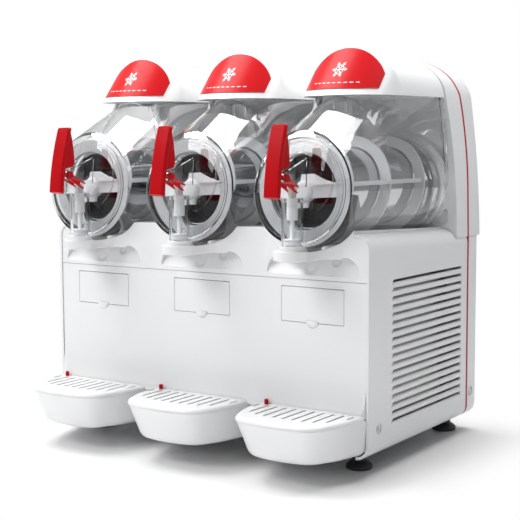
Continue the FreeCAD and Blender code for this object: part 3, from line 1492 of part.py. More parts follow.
def condenser():
    """Finned block beside the louvres, with its fan shroud, the fan motor and its bracket."""
    floor_z = base_z + base_thickness
    core = block(core_x, core_x + core_depth, core_front_y, core_back_y, floor_z, core_top_z)
    shroud_x = core_x - shroud_depth
    shroud = block(shroud_x, core_x + 2, core_front_y, core_back_y, floor_z, core_top_z)
    plenum = block(shroud_x + wall, core_x + 0.5, core_front_y + 4, core_back_y - 4, floor_z + 4,
                   core_top_z - 4)
    opening = rod(fan_radius + 4, 2 * shroud_depth, V(shroud_x - 8, fan_y, fan_z), V(1, 0, 0))
    fins = []
    for i in range(fin_count):
        z = floor_z + fin_pitch * (i + 0.75)
        fins.append(block(core_x + shroud_depth, core_x + core_depth + 2, core_front_y - 6, core_back_y + 6,
                          z, z + fin_height))
    bracket_half = 7.0
    bracket_x = fan_x - 35.0
    post = block(bracket_x, bracket_x + 6, fan_y - bracket_half, fan_y + bracket_half, floor_z, fan_z - 10)
    foot = block(bracket_x, core_x + 2, fan_y - bracket_half, fan_y + bracket_half, floor_z, floor_z + 4)
    motor = rod(fan_motor_radius, fan_motor_length, V(bracket_x - 2, fan_y, fan_z), V(1, 0, 0))
    spindle_end = fan_x + fan_hub_length / 2 - wall - slide_fit
    spindle = rod(spindle_radius, spindle_end - bracket_x - 10, V(bracket_x + 10, fan_y, fan_z), V(1, 0, 0))
    body = core.fuse([shroud.cut(plenum).cut(opening)] + fins)
    return body.fuse([motor, spindle, foot, post]).removeSplitter()


def fan_blades():
    hub = rod(fan_hub_radius, fan_hub_length, V(fan_x - fan_hub_length / 2, fan_y, fan_z), V(1, 0, 0))
    blades = []
    for i in range(fan_blade_count):
        blade = block(-1.2, 1.2, -16, 16, fan_hub_radius - 4, fan_radius - 2)
        blade.rotate(V(0, 0, 0), V(0, 0, 1), fan_blade_angle)
        blade.rotate(V(0, 0, 0), V(1, 0, 0), 360.0 / fan_blade_count * i)
        blade.translate(V(fan_x, fan_y, fan_z))
        blades.append(blade)
    bore_start = fan_x - fan_hub_length / 2 - 2
    bore = rod(spindle_radius + shaft_fit, fan_hub_length + 2 - wall, V(bore_start, fan_y, fan_z),
               V(1, 0, 0))
    return hub.fuse(blades).cut(bore)


save("compressor", compressor())
save("condenser", condenser())
save("fan_blades", fan_blades())
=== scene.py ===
# %% [markdown]
# A three-bowl slush machine for the counter.
# The measured model comes in as a fixed frame: every piece at its real size and place, in
# metres. This script gives each piece its finish, adds the small pieces that are only there
# to be looked at, and sets up the studio. It never moves a piece of the frame.

import math

import bmesh
import bpy
from mathutils import Matrix, Vector


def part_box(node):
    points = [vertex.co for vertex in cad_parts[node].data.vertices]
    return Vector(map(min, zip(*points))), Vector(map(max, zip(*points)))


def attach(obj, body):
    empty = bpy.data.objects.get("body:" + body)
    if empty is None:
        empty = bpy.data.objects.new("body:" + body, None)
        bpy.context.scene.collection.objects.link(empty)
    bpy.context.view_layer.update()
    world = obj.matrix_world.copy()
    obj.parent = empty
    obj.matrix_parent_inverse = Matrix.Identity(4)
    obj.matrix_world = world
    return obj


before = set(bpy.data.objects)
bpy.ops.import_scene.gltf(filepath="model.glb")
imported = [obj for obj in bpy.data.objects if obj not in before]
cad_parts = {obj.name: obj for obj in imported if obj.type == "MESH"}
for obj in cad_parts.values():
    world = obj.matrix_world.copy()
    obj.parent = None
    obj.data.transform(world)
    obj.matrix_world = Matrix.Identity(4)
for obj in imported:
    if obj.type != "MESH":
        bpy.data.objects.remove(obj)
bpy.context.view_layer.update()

# %% [markdown]
# The machine repeats itself three times from left to right. The middle line of each bowl is
# measured from its drive shaft, so that nothing here has to be fitted by hand.

# %% Where the three bowls are
SIDES = ("left", "middle", "right")
MM = 0.001


def middle_of(node):
    low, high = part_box(node)
    return (low + high) / 2


BOWL_X = {side: middle_of("drive_shaft_" + side).x for side in SIDES}
AXIS_Z = middle_of("drive_shaft_middle").z
DRUM_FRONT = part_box("evaporator_middle")[0].y
PITCH = BOWL_X["right"] - BOWL_X["middle"]
print("bowls stand", round(PITCH / MM, 1), "mm apart, their axis", round(AXIS_Z / MM, 1), "mm up")

# %% [markdown]
# The camera stands to the right of the machine and a little above the middle of the bowls,
# and looks down by a few degrees. Its place was solved from lengths on the machine, so the
# picture has the same perspective as the photograph. A turn about the vertical, then a tilt,
# then a small roll about its own view line is the order in which a tripod is set.

# %% Camera
CAMERA_PLACE = Vector((1.0895, -1.5736, 0.4757))
CAMERA_TURN = math.radians(34.178)
CAMERA_DROP = math.radians(5.548)
CAMERA_ROLL = math.radians(-0.289)
SENSOR_WIDTH = 36.0
FOCAL_LENGTH = 81.85
NEAREST_SEEN = 0.05

camera_data = bpy.data.cameras.new("camera")
camera_data.sensor_width = SENSOR_WIDTH
camera_data.lens = FOCAL_LENGTH
camera_data.clip_start = NEAREST_SEEN
camera = bpy.data.objects.new("camera", camera_data)
bpy.context.scene.collection.objects.link(camera)
tilt = Matrix.Rotation(math.pi / 2 - CAMERA_DROP, 4, "X")
turned = Matrix.Rotation(CAMERA_TURN, 4, "Z") @ tilt
camera.matrix_world = Matrix.Translation(CAMERA_PLACE) @ turned @ Matrix.Rotation(CAMERA_ROLL, 4, "Z")
bpy.context.scene.camera = camera
bpy.context.scene.view_settings.view_transform = "Standard"
print("camera", round((CAMERA_PLACE - middle_of("bowl_middle")).length, 2), "m from the middle bowl")

# %% [markdown]
# A finish is a small network of nodes. Written out link by link it is hard to read, so one
# class wraps a socket and takes part in sums: an expression such as 1 - mask adds the Math
# node that works it out. Colours don't go through it, because a Math node turns them grey.

# %% A socket that can be used in sums


class Wire:
    def __init__(self, nodes, socket):
        self.nodes = nodes
        self.socket = socket

    def sum(self, operation, first, second=0.0):
        return self.nodes.node("ShaderNodeMath", {"operation": operation}, {0: first, 1: second})

    def __add__(self, other):
        return self.sum("ADD", self, other)

    __radd__ = __add__

    def __sub__(self, other):
        return self.sum("SUBTRACT", self, other)

    def __rsub__(self, other):
        return self.sum("SUBTRACT", other, self)

    def __mul__(self, other):
        return self.sum("MULTIPLY", self, other)

    __rmul__ = __mul__

    def __truediv__(self, other):
        return self.sum("DIVIDE", self, other)

    def __pow__(self, other):
        return self.sum("POWER", self, other)

    def __gt__(self, other):
        return self.sum("GREATER_THAN", self, other)

    def __lt__(self, other):
        return self.sum("LESS_THAN", self, other)

    def __abs__(self):
        return self.sum("ABSOLUTE", self)

    def rounded(self):
        return self.sum("ROUND", self)


print("sockets can be added, compared and rounded")

# %% [markdown]
# A second class holds one node tree. Its first method adds any node: the settings come first,
# because some of them change which sockets there are, and then the values or links. The world
# has a node tree too, so this class knows nothing of surfaces.

# %% A node tree


class Nodes:
    def __init__(self, tree):
        self.tree = tree

    def node(self, kind, settings=None, inputs=None, output=0):
        made = self.tree.nodes.new(kind)
        for title, value in (settings or {}).items():
            if title == "stops":
                ramp = made.color_ramp.elements
                while len(ramp) < len(value):
                    ramp.new(1.0)
                for stop, (place, grey) in zip(ramp, value):
                    stop.position = place
                    stop.color = (grey, grey, grey, 1.0)
            else:
                setattr(made, title, value)
        for title, value in (inputs or {}).items():
            self.join(value, made.inputs[title])
        return Wire(self, made.outputs[output])

    def join(self, value, socket):
        if isinstance(value, Wire):
            self.tree.links.new(value.socket, socket)
        else:
            socket.default_value = value

    def mix(self, factor, first, second):
        a, b = (c if isinstance(c, Wire) else (*c, 1.0) for c in (first, second))
        return self.node("ShaderNodeMix", {"data_type": "RGBA"}, {0: factor, 6: a, 7: b}, 2)

    def vector(self, operation, first, second=None, output=0):
        inputs = {0: first} if second is None else {0: first, 1: second}
        return self.node("ShaderNodeVectorMath", {"operation": operation}, inputs, output)

    def fade(self, value, low, high, start=0.0, end=1.0):
        """A smooth step: start below low, end above high."""
        inputs = {"Value": value, "From Min": low, "From Max": high, "To Min": start, "To Max": end}
        return self.node("ShaderNodeMapRange", {"interpolation_type": "SMOOTHSTEP"}, inputs, "Result")


print("node trees can be written")

# %% [markdown]
# A third class is one surface finish. It starts with the plain values, which stay on the
# shader's own sockets, and offers the few things that every finish here needs: a place on the
# piece, a noise of a given size, the distance from a bowl's axis, and a bump. Places are
# Object coordinates, so a pattern stays on its piece when a joint moves it.

# %% A material


class Paint(Nodes):
    def __init__(self, name, color, roughness, metallic=0.0, **fixed):
        self.material = bpy.data.materials.new(name)
        self.material.use_nodes = True
        super().__init__(self.material.node_tree)
        self.shader = self.tree.nodes["Principled BSDF"]
        self.shader.inputs["Base Color"].default_value = (*color, 1.0)
        self.shader.inputs["Roughness"].default_value = roughness
        self.shader.inputs["Metallic"].default_value = metallic
        for title, value in fixed.items():
            self.shader.inputs[title.replace("_", " ").title().replace("Ior", "IOR")].default_value = value

    def coordinate(self, axis):
        here = self.node("ShaderNodeTexCoord", output="Object")
        return self.node("ShaderNodeSeparateXYZ", {}, {"Vector": here}, axis)

    def place(self, scale):
        here = self.node("ShaderNodeTexCoord", output="Object")
        return self.node("ShaderNodeMapping", {}, {"Vector": here, "Scale": scale})

    def noise(self, size, detail=2.0, stretch=(1.0, 1.0, 1.0)):
        scale = tuple(s / size for s in stretch)
        inputs = {"Vector": self.place(scale), "Scale": 1.0, "Detail": detail}
        return self.node("ShaderNodeTexNoise", {}, inputs, "Fac")

    def folded(self):
        """X measured from the nearest bowl's middle line, and the height."""
        x = self.coordinate("X")
        return x - PITCH * (x / PITCH).rounded(), self.coordinate("Z")

    def from_axis(self):
        """How far a point is from the nearest bowl's axis."""
        across, height = self.folded()
        return (across * across + (height - AXIS_Z) * (height - AXIS_Z)) ** 0.5

    def use(self, title, value):
        self.join(value, self.shader.inputs[title])

    def rounded_edges(self, radius):
        return self.node("ShaderNodeBevel", {"samples": 4}, {"Radius": radius})

    def bump(self, height, depth, normal=None):
        inputs = {"Height": height, "Distance": depth, "Strength": 1.0}
        if normal is not None:
            inputs["Normal"] = normal
        return self.node("ShaderNodeBump", {}, inputs)


print("ready to mix finishes")

# %% [markdown]
# Most of the machine is white moulded plastic with a soft gloss. Real mouldings are never
# perfectly even: the gloss wavers over a few centimetres, there is a fine grain, and every
# edge has a small radius that catches the light. The radius comes from a Bevel node, which
# rounds the shading at edges without touching the mesh. The deck has two shallow dents under
# each tap, too soft to need a mesh of their own, so they are bumps at a given place.

# %% White moulded plastic
CASE_WHITE = (0.80, 0.805, 0.81)
LID_WHITE = (0.83, 0.835, 0.84)
# The inner white is the case's white painted darker: painted shade for the parts inside the clear bowls
# and tap, where less light reaches.
INNER_WHITE_SHADED = (0.66, 0.67, 0.68)
CLOUD_SIZE = 0.12
CLOUD_SHADE = 0.965
WAVER_SIZE = 0.05
WAVER = 0.10
GRAIN_SIZE = 0.0016
COAT_ROUGHNESS = 0.08
DENTS = ((-0.0046, 0.2986, 0.0125), (0.0340, 0.3098, 0.0100))
DENT_DEPTH = 0.0022
DENT_FLOOR = 0.35


def moulding(name, color, roughness, grain, edge, coat=0.0, dents=()):
    paint = Paint(name, color, roughness, coat_weight=coat, coat_roughness=COAT_ROUGHNESS)
    dulled = tuple(c * CLOUD_SHADE for c in color)
    paint.use("Base Color", paint.mix(paint.noise(CLOUD_SIZE, 3.0), color, dulled))
    paint.use("Roughness", roughness + WAVER * (paint.noise(WAVER_SIZE, 4.0) - 0.5))
    shape = paint.rounded_edges(edge)
    for x, z, size in dents:
        across, height = paint.folded()
        away = ((across - x) * (across - x) + (height - z) * (height - z)) ** 0.5 / size
        shape = paint.bump(paint.fade(away, DENT_FLOOR, 1.0), DENT_DEPTH, shape)
    paint.use("Normal", paint.bump(paint.noise(GRAIN_SIZE, 2.0), grain, shape))
    return paint


white_case = moulding("white_case", CASE_WHITE, 0.30, 0.000012, 0.0010, coat=0.25)
white_deck = moulding("white_deck", CASE_WHITE, 0.30, 0.000012, 0.0010, coat=0.25, dents=DENTS)
white_lid = moulding("white_lid", LID_WHITE, 0.26, 0.000010, 0.0010, coat=0.3)
# white_inner carries the darker inner white, which is painted shade.
white_inner = moulding("white_inner", INNER_WHITE_SHADED, 0.32, 0.000010, 0.0006)
print("white finishes made, with", len(DENTS), "dents under each tap")

# %% [markdown]
# The mixer is the same plastic without a gloss coat, in the darker inner white that is painted shade.
# Seen through the bowl's front, its ring lies in deeper shade than its arms, so the ring is painted grey:
# painted shade. The distance from the bowl's axis tells the two apart, with a soft step between them.

# %% White mixer with painted shade on its ring
RING_PAINTED_SHADE = (0.46, 0.47, 0.48)
RING_INNER = 0.050
RING_OUTER = 0.058

mixer_white = moulding("mixer_white", INNER_WHITE_SHADED, 0.32, 0.000010, 0.0006)
ring_shade_mask = mixer_white.fade(mixer_white.from_axis(), RING_INNER, RING_OUTER)
# Painted shade: the ring beyond the step takes the grey, and the arms keep the inner white.
mixer_white.use("Base Color", mixer_white.mix(ring_shade_mask, INNER_WHITE_SHADED, RING_PAINTED_SHADE))
print("mixer ring starts", round(RING_OUTER / MM), "mm from the axis")

# %% [markdown]
# The levers, the label plates, the thin line round the case and the little floats are the
# same glossy red. It is deep, with a weak white shine, so that it stays red under the lamps.

# %% Glossy red
RED = ((0.48, 0.006, 0.010), (0.42, 0.004, 0.008))
RED_SHINE = 0.08
RED_CLOUD_SIZE = 0.02
RED_WAVER_SIZE = 0.008
RED_WAVER = 0.12
RED_EDGE = 0.0007
RED_GRAIN_SIZE = 0.0012
RED_GRAIN_DEPTH = 0.00002


def red_gloss(name, roughness):
    paint = Paint(name, RED[1], roughness, specular_ior_level=RED_SHINE)
    paint.use("Base Color", paint.mix(paint.noise(RED_CLOUD_SIZE, 3.0), *RED))
    paint.use("Roughness", roughness + RED_WAVER * (paint.noise(RED_WAVER_SIZE, 4.0) - 0.5))
    grain = paint.noise(RED_GRAIN_SIZE, 2.0)
    paint.use("Normal", paint.bump(grain, RED_GRAIN_DEPTH, paint.rounded_edges(RED_EDGE)))
    return paint


red = red_gloss("red_gloss", 0.34)
print("red finish made")

# %% [markdown]
# Each label plate has a plain white motif: one ice star with six branched arms over a row of
# dashes. The plates repeat at the bowls' pitch, so the X coordinate is folded by the pitch and
# the motif is written only once. Folding the angle by a sixth of a turn makes six arms from
# one, and a branch is a short line at a sixth of a turn to its arm.

# %% Red label with its motif
LABEL_RED = ((0.56, 0.012, 0.016), (0.50, 0.009, 0.012))
MOTIF_WHITE = (0.80, 0.78, 0.78)
STAR_Z = 0.5860
STAR_RADIUS = 0.0125
STAR_LINE = 0.00062
BRANCHES = ((0.0050, 0.0032), (0.0085, 0.0024))
SIXTH = math.tau / 6
DASH_Z = 0.5660
DASH_HALF_HEIGHT = 0.0006
DASH_PITCH = 0.0090
DASH_SHARE = 0.62
DASH_REACH = 0.0380

label_red = red_gloss("label_red", 0.3)
across, height = label_red.folded()
up = height - STAR_Z
radius = (across * across + up * up) ** 0.5
angle = up.sum("ARCTAN2", up, across)
arm_angle = angle - SIXTH * (angle / SIXTH).rounded()
along = radius * arm_angle.sum("COSINE", arm_angle)
aside = abs(radius * arm_angle.sum("SINE", arm_angle))
star = (aside < STAR_LINE) * (radius < STAR_RADIUS)
for start, reach in BRANCHES:
    off = abs(aside * math.cos(SIXTH) - (along - start) * math.sin(SIXTH))
    star = star + (off < STAR_LINE) * (aside < reach)
in_dash = abs(across / DASH_PITCH - (across / DASH_PITCH).rounded()) < DASH_SHARE / 2
dashes = (abs(height - DASH_Z) < DASH_HALF_HEIGHT) * in_dash * (abs(across) < DASH_REACH)
motif = (star + dashes) > 0.5
plate = label_red.mix(label_red.noise(0.03, 3.0), *LABEL_RED)
label_red.use("Base Color", label_red.mix(motif, plate, MOTIF_WHITE))
print("label motif: a star", round(2 * STAR_RADIUS / MM), "mm across")

# %% [markdown]
# The bowls are clear polycarbonate, three millimetres thick, with a real inner and outer
# wall, so a refracting shader draws the bright and dark lines along the edges by itself.
# Injection moulding leaves the surface slightly wavy, which a very shallow bump gives. The
# upper part, the hopper, mirrors the lamps strongly, so a gloss coat fades in above the front
# window. Light that passes through to make a shadow is let straight through, barely dimmed,
# because refracted light would leave the walls behind the bowls nearly black.

# %% Clear polycarbonate
GLOSS_FOOT = 0.455
GLOSS_TOP = 0.475
WAVE_SIZE = 0.035
WAVE_DEPTH = 0.00005
CLEAR_ROUGHNESS = 0.004
CLEAR_WAVER = 0.012
CLEAR_WAVER_SIZE = 0.02
SHADOW_TINT = (0.97, 0.973, 0.976, 1.0)

clear = Paint("clear_bowl", (0.98, 0.985, 0.99), 0.01, transmission_weight=1.0, ior=1.46,
              specular_ior_level=0.14, coat_roughness=0.01)
clear.use("Coat Weight", clear.fade(clear.coordinate("Z"), GLOSS_FOOT, GLOSS_TOP))
clear.use("Roughness", CLEAR_ROUGHNESS + CLEAR_WAVER * clear.noise(CLEAR_WAVER_SIZE, 3.0))
clear.use("Normal", clear.bump(clear.noise(WAVE_SIZE, 1.0), WAVE_DEPTH))
shadow = clear.node("ShaderNodeLightPath", output="Is Shadow Ray")
through = clear.node("ShaderNodeBsdfTransparent", {}, {"Color": SHADOW_TINT})
glass = Wire(clear, clear.shader.outputs[0])
either = clear.node("ShaderNodeMixShader", {}, {0: shadow, 1: glass, 2: through})
clear.join(either, clear.tree.nodes["Material Output"].inputs["Surface"])
print("clear finish made, glossy above", round(GLOSS_FOOT / MM), "mm")

# %% [markdown]
# The cold drums are polished steel, turned on a lathe: the fine marks run round the drum, so
# the noise is stretched round the axis and packed tight along it. Inside the deep recess in each
# drum's front the steel is painted near-black: a mask of its radius and depth turns the steel
# there into a dull dark coat.

# %% Polished steel
STEEL = ((0.62, 0.63, 0.64), (0.50, 0.51, 0.52))
RECESS_BLACK = (0.006, 0.006, 0.006)
RECESS_MOUTH = 0.0531
RECESS_DEPTH = 0.034
LATHE_SIZE = 0.0009
LATHE_STRETCH = (0.02, 1.0, 0.02)
LATHE_DEPTH = 0.000003
STEEL_ROUGHNESS = 0.03
STEEL_WAVER = 0.05
STEEL_WAVER_SIZE = 0.03
RECESS_ROUGHNESS = 0.35

steel = Paint("polished_steel", STEEL[1], 0.06, 1.0)
lathe = steel.noise(LATHE_SIZE, 2.0, LATHE_STRETCH)
deep_enough = steel.coordinate("Y") < DRUM_FRONT + RECESS_DEPTH + MM
darkened = (steel.from_axis() < RECESS_MOUTH) * deep_enough
# The recess mask paints the steel inside the recess near-black and dull.
steel.use("Base Color", steel.mix(darkened, steel.mix(lathe, *STEEL), RECESS_BLACK))
steel.use("Metallic", 1 - darkened)
waver = STEEL_WAVER * steel.noise(STEEL_WAVER_SIZE, 3.0)
steel.use("Roughness", STEEL_ROUGHNESS + waver + RECESS_ROUGHNESS * darkened)
steel.use("Normal", steel.bump(lathe, LATHE_DEPTH))
print("steel made, lined black", round(RECESS_DEPTH / MM), "mm deep in the drums")

# %% [markdown]
# The folded sheet inside the case is galvanised. Its spangle is a patchwork of zinc crystals,
# which a Voronoi texture draws in cells. The condenser is a block of bare thin fins, and a
# wave of light and dark stripes across it is painted shade: the dark stripes paint the shade in the gaps
# between the fins.

# %% Zinc and fins
ZINC = ((0.48, 0.49, 0.50), (0.66, 0.67, 0.68))
SPANGLES_PER_METRE = 90.0
FIN_AND_GAP_SHADE = ((0.32, 0.33, 0.34), (0.74, 0.75, 0.76))
FIN_WAVES = 400.0

zinc = Paint("galvanised_sheet", ZINC[0], 0.4, 1.0)
spangle_place = zinc.place((SPANGLES_PER_METRE,) * 3)
spangle = zinc.node("ShaderNodeTexVoronoi", {}, {"Vector": spangle_place, "Scale": 1.0}, "Color")
patch = zinc.node("ShaderNodeSeparateColor", {}, {"Color": spangle})
zinc.use("Base Color", zinc.mix(patch, *ZINC))
zinc.use("Roughness", 0.32 + 0.2 * patch)

fins = Paint("bare_fins", FIN_AND_GAP_SHADE[1], 0.35, 1.0)
fin_place = fins.place((FIN_WAVES,) * 3)
rib = fins.node("ShaderNodeTexWave", {"bands_direction": "Y"}, {"Vector": fin_place, "Scale": 1.0})
# The dark half of the wave is painted shade in the gaps between the fins.
fins.use("Base Color", fins.mix(rib, *FIN_AND_GAP_SHADE))
fins.use("Roughness", 0.3 + 0.15 * fins.noise(0.01))
print("zinc and fins made")

# %% [markdown]
# What is left is dark or soft: black feet and gland, the enamelled compressor, grey rubber
# seals and the grey keypad behind the doors. One function makes them all, and each gets its
# own grain, from the coarse skin of rubber to the long waves of enamel.

# %% Dark and soft finishes
DARK_CLOUD_SIZE = 0.015
DARK_WAVER_SIZE = 0.006
DARK_WAVER = 0.15


def dark_finish(name, color, roughness, grain_size, grain_depth, spread, shine=0.5):
    paint = Paint(name, color, roughness, specular_ior_level=shine)
    lighter = tuple(c * (1.0 + spread) for c in color)
    paint.use("Base Color", paint.mix(paint.noise(DARK_CLOUD_SIZE, 4.0), color, lighter))
    paint.use("Roughness", roughness + DARK_WAVER * (paint.noise(DARK_WAVER_SIZE, 3.0) - 0.5))
    paint.use("Normal", paint.bump(paint.noise(grain_size, 2.0), grain_depth))
    return paint


black_plastic = dark_finish("black_plastic", (0.012, 0.012, 0.013), 0.35, 0.0012, 0.00005, 0.8)
black_gloss = dark_finish("black_gloss", (0.004, 0.004, 0.004), 0.2, 0.01, 0.0001, 0.6, shine=0.12)
black_enamel = dark_finish("black_enamel", (0.016, 0.016, 0.017), 0.28, 0.002, 0.00008, 0.5)
foot_rubber = dark_finish("foot_rubber", (0.014, 0.014, 0.014), 0.5, 0.0015, 0.0001, 0.7)
seal_rubber = dark_finish("seal_rubber", (0.50, 0.51, 0.52), 0.5, 0.001, 0.00004, 0.1)
keypad = dark_finish("keypad", (0.22, 0.23, 0.24), 0.45, 0.001, 0.00004, 0.15)
print("dark finishes made")

# %% [markdown]
# The meshes of the frame come as loose triangles. A Weld modifier joins them, and a small set
# of geometry nodes smooths the shading across every edge that is flatter than a limit and
# keeps the others crisp. As modifiers they leave the frame's own vertices where they are.

# %% Smooth shading that keeps crisp edges
CRISP_ANGLE = math.radians(28)
WELD_DISTANCE = 0.000005


def shading_group():
    group = bpy.data.node_groups.new("smooth_by_angle", "GeometryNodeTree")
    group.interface.new_socket("Geometry", in_out="INPUT", socket_type="NodeSocketGeometry")
    group.interface.new_socket("Geometry", in_out="OUTPUT", socket_type="NodeSocketGeometry")
    enter = group.nodes.new("NodeGroupInput")
    leave = group.nodes.new("NodeGroupOutput")
    angle = group.nodes.new("GeometryNodeInputMeshEdgeAngle")
    flat_enough = group.nodes.new("FunctionNodeCompare")
    flat_enough.operation = "LESS_THAN"
    flat_enough.inputs[1].default_value = CRISP_ANGLE
    faces = group.nodes.new("GeometryNodeSetShadeSmooth")
    faces.domain = "FACE"
    edges = group.nodes.new("GeometryNodeSetShadeSmooth")
    edges.domain = "EDGE"
    link = group.links.new
    link(enter.outputs[0], faces.inputs["Geometry"])
    link(faces.outputs[0], edges.inputs["Geometry"])
    link(angle.outputs["Unsigned Angle"], flat_enough.inputs[0])
    link(flat_enough.outputs[0], edges.inputs["Shade Smooth"])
    link(edges.outputs[0], leave.inputs[0])
    return group


SMOOTHING = shading_group()


def soften(piece):
    weld = piece.modifiers.new("weld", "WELD")
    weld.merge_threshold = WELD_DISTANCE
    smooth = piece.modifiers.new("smooth", "NODES")
    smooth.node_group = SMOOTHING


print("edges stay crisp above", round(math.degrees(CRISP_ANGLE)), "degrees")

# %% [markdown]
# Each piece of the frame takes its finish by the first part of its name. The list is read
# from the top, so a longer name stands before a shorter one that it begins with, and the
# empty name at the end catches all that is left: the white case.

# %% Give every piece of the frame its finish
FINISH_BY_START = (
    ("bowl_seals", seal_rubber), ("bowl_", clear),
    ("lid_label", label_red), ("lid", white_lid),
    ("tap_handle", red), ("tap_pin", red), ("tap_piston", white_inner), ("red_trim", red),
    ("tray_float", red), ("deck_panel", white_deck), ("auger", mixer_white),
    ("drive_shaft", steel), ("evaporator", steel), ("panel_screws", steel),
    ("chassis_base", zinc), ("gearmotors", zinc), ("condenser", fins), ("compressor", black_enamel),
    ("fan_blades", black_plastic), ("cable_inlet", black_plastic), ("feet", foot_rubber),
    ("control_panel", keypad), ("", white_case),
)

for title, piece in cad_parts.items():
    paint = next(p for start, p in FINISH_BY_START if title.startswith(start))
    piece.data.materials.clear()
    piece.data.materials.append(paint.material)
    soften(piece)
print("finishes given to", len(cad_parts), "pieces")

# %% [markdown]
# New pieces are small closed solids made with mesh operators. One helper turns the working
# mesh into a finished piece: normals outwards, finish on, and tied to the body it rides on. A
# second one turns a short profile about a bowl's axis, as a lathe does.

# %% Finish a new piece
MERGE_DISTANCE = 0.000001
TURNED_STEPS = 96


def finished(name, bm, body, paint):
    bmesh.ops.remove_doubles(bm, verts=bm.verts, dist=MERGE_DISTANCE)
    bmesh.ops.recalc_face_normals(bm, faces=bm.faces)
    mesh = bpy.data.meshes.new(name)
    bm.to_mesh(mesh)
    bm.free()
    piece = bpy.data.objects.new(name, mesh)
    bpy.context.scene.collection.objects.link(piece)
    mesh.materials.append(paint.material)
    soften(piece)
    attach(piece, body)


def turned_on_axis(profile, x):
    """A closed ring turned about the bowl's own axis from points given as (y, radius)."""
    bm = bmesh.new()
    corners = [bm.verts.new((x, y, AXIS_Z + radius)) for y, radius in profile]
    loop = [bm.edges.new((a, b)) for a, b in zip(corners, corners[1:] + corners[:1])]
    bmesh.ops.spin(bm, geom=corners + loop, cent=(x, 0.0, AXIS_Z), axis=(0.0, 1.0, 0.0),
                   angle=math.tau, steps=TURNED_STEPS, use_merge=True)
    return bm


print("ready to make new pieces")

# %% [markdown]
# Deep in each drum's front sits a black insulating cap. It shows through the clear bowl as the
# darkest thing on the machine, between the arms of the white mixer. A short profile with one
# raised step, turned about the drum's axis, makes it, and three screw heads hold it.

# %% Black caps on the drums
RECESS_FLOOR = DRUM_FRONT + RECESS_DEPTH
CAP_RADIUS = 0.0465
CAP_HOLE = 0.0095
CAP_PROUD = 0.0016
CAP_STEP = 0.0300
STEP_RISE = 0.0008
STEP_SLOPE = 0.0010
RIM_SLOPE = 0.0006
SEAT_GAP = 0.00005
SCREW_COUNT = 3
SCREW_SEGMENTS = 24
FIRST_SCREW = 0.25
SCREW_RADIUS = 0.0042
SCREW_TAPER = 0.8
SCREW_PROUD = 0.0014
SCREW_SUNK = 0.0002
SCREW_RING = 0.0235

cap_front = RECESS_FLOOR - CAP_PROUD
cap_seat = RECESS_FLOOR - SEAT_GAP
cap_profile = [
    (cap_seat, CAP_HOLE), (cap_front, CAP_HOLE), (cap_front, CAP_STEP),
    (cap_front + STEP_RISE, CAP_STEP + STEP_SLOPE), (cap_front + STEP_RISE, CAP_RADIUS - RIM_SLOPE),
    (cap_seat, CAP_RADIUS),
]
for side in SIDES:
    bm = turned_on_axis(cap_profile, BOWL_X[side])
    for turn in range(SCREW_COUNT):
        angle = math.tau * (turn / SCREW_COUNT + FIRST_SCREW)
        at = Vector((BOWL_X[side] + SCREW_RING * math.cos(angle), cap_front - SCREW_PROUD / 2,
                     AXIS_Z + SCREW_RING * math.sin(angle)))
        stand = Matrix.Translation(at) @ Matrix.Rotation(math.pi / 2, 4, "X")
        bmesh.ops.create_cone(bm, cap_ends=True, segments=SCREW_SEGMENTS, matrix=stand,
                              radius1=SCREW_RADIUS, radius2=SCREW_RADIUS * SCREW_TAPER,
                              depth=SCREW_PROUD + SCREW_SUNK)
    finished("drum_cap_" + side, bm, "case", black_gloss)
print("drum caps", round(CAP_RADIUS * 2 / MM), "mm across")

# %% [markdown]
# The mixer's front ring is stiffened by fine ribs that run outwards on its face. One rib is a
# small flat wedge, narrower at its crest, and spinning copies of it round the axis makes the
# whole row.

# %% Ribs on the mixer rings
RIB_COUNT = 96
RIB_HEIGHT = 0.0006
RIB_WIDTH = 0.0013
RIB_INNER = 0.0575
RIB_OUTER = 0.0725
RIB_SUNK = 0.0001
RIB_CREST = (0.4, 1.0, 0.9)
HUB_PROUD = 0.003
RING_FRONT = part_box("auger_middle")[0].y + HUB_PROUD

for side in SIDES:
    bm = bmesh.new()
    made = bmesh.ops.create_cube(bm, size=1.0)["verts"]
    bmesh.ops.scale(bm, vec=(RIB_WIDTH, RIB_HEIGHT, RIB_OUTER - RIB_INNER), verts=made)
    crest = [v for v in made if v.co.y < 0]
    bmesh.ops.scale(bm, vec=RIB_CREST, verts=crest)
    centre = (BOWL_X[side], RING_FRONT - RIB_HEIGHT / 2 + RIB_SUNK, AXIS_Z + (RIB_OUTER + RIB_INNER) / 2)
    bmesh.ops.translate(bm, vec=centre, verts=made)
    bmesh.ops.spin(bm, geom=bm.faces[:], cent=(BOWL_X[side], 0.0, AXIS_Z), axis=(0.0, 1.0, 0.0),
                   angle=math.tau * (RIB_COUNT - 1) / RIB_COUNT, steps=RIB_COUNT - 1, use_duplicate=True)
    finished("mixer_ribs_" + side, bm, "mixer_" + side, mixer_white)
print("ribs on each mixer ring:", RIB_COUNT)

# %% [markdown]
# The machine stands on a plain pale floor that keeps its shadow. Away from the footprint the
# floor fades to pure white, but only for what the camera sees straight or through glass, so
# the background is white without any more light falling on the machine. The distance from the
# footprint is worked out from the place on the floor.

# %% Floor
FLOOR_SIZE = 12.0
FLOOR_GREY = (0.86, 0.86, 0.86)
WHITE = (1.0, 1.0, 1.0, 1.0)
FOOTPRINT = (0.28, 0.20, 0.0)
FADE_START = 0.02
FADE_END = 0.17

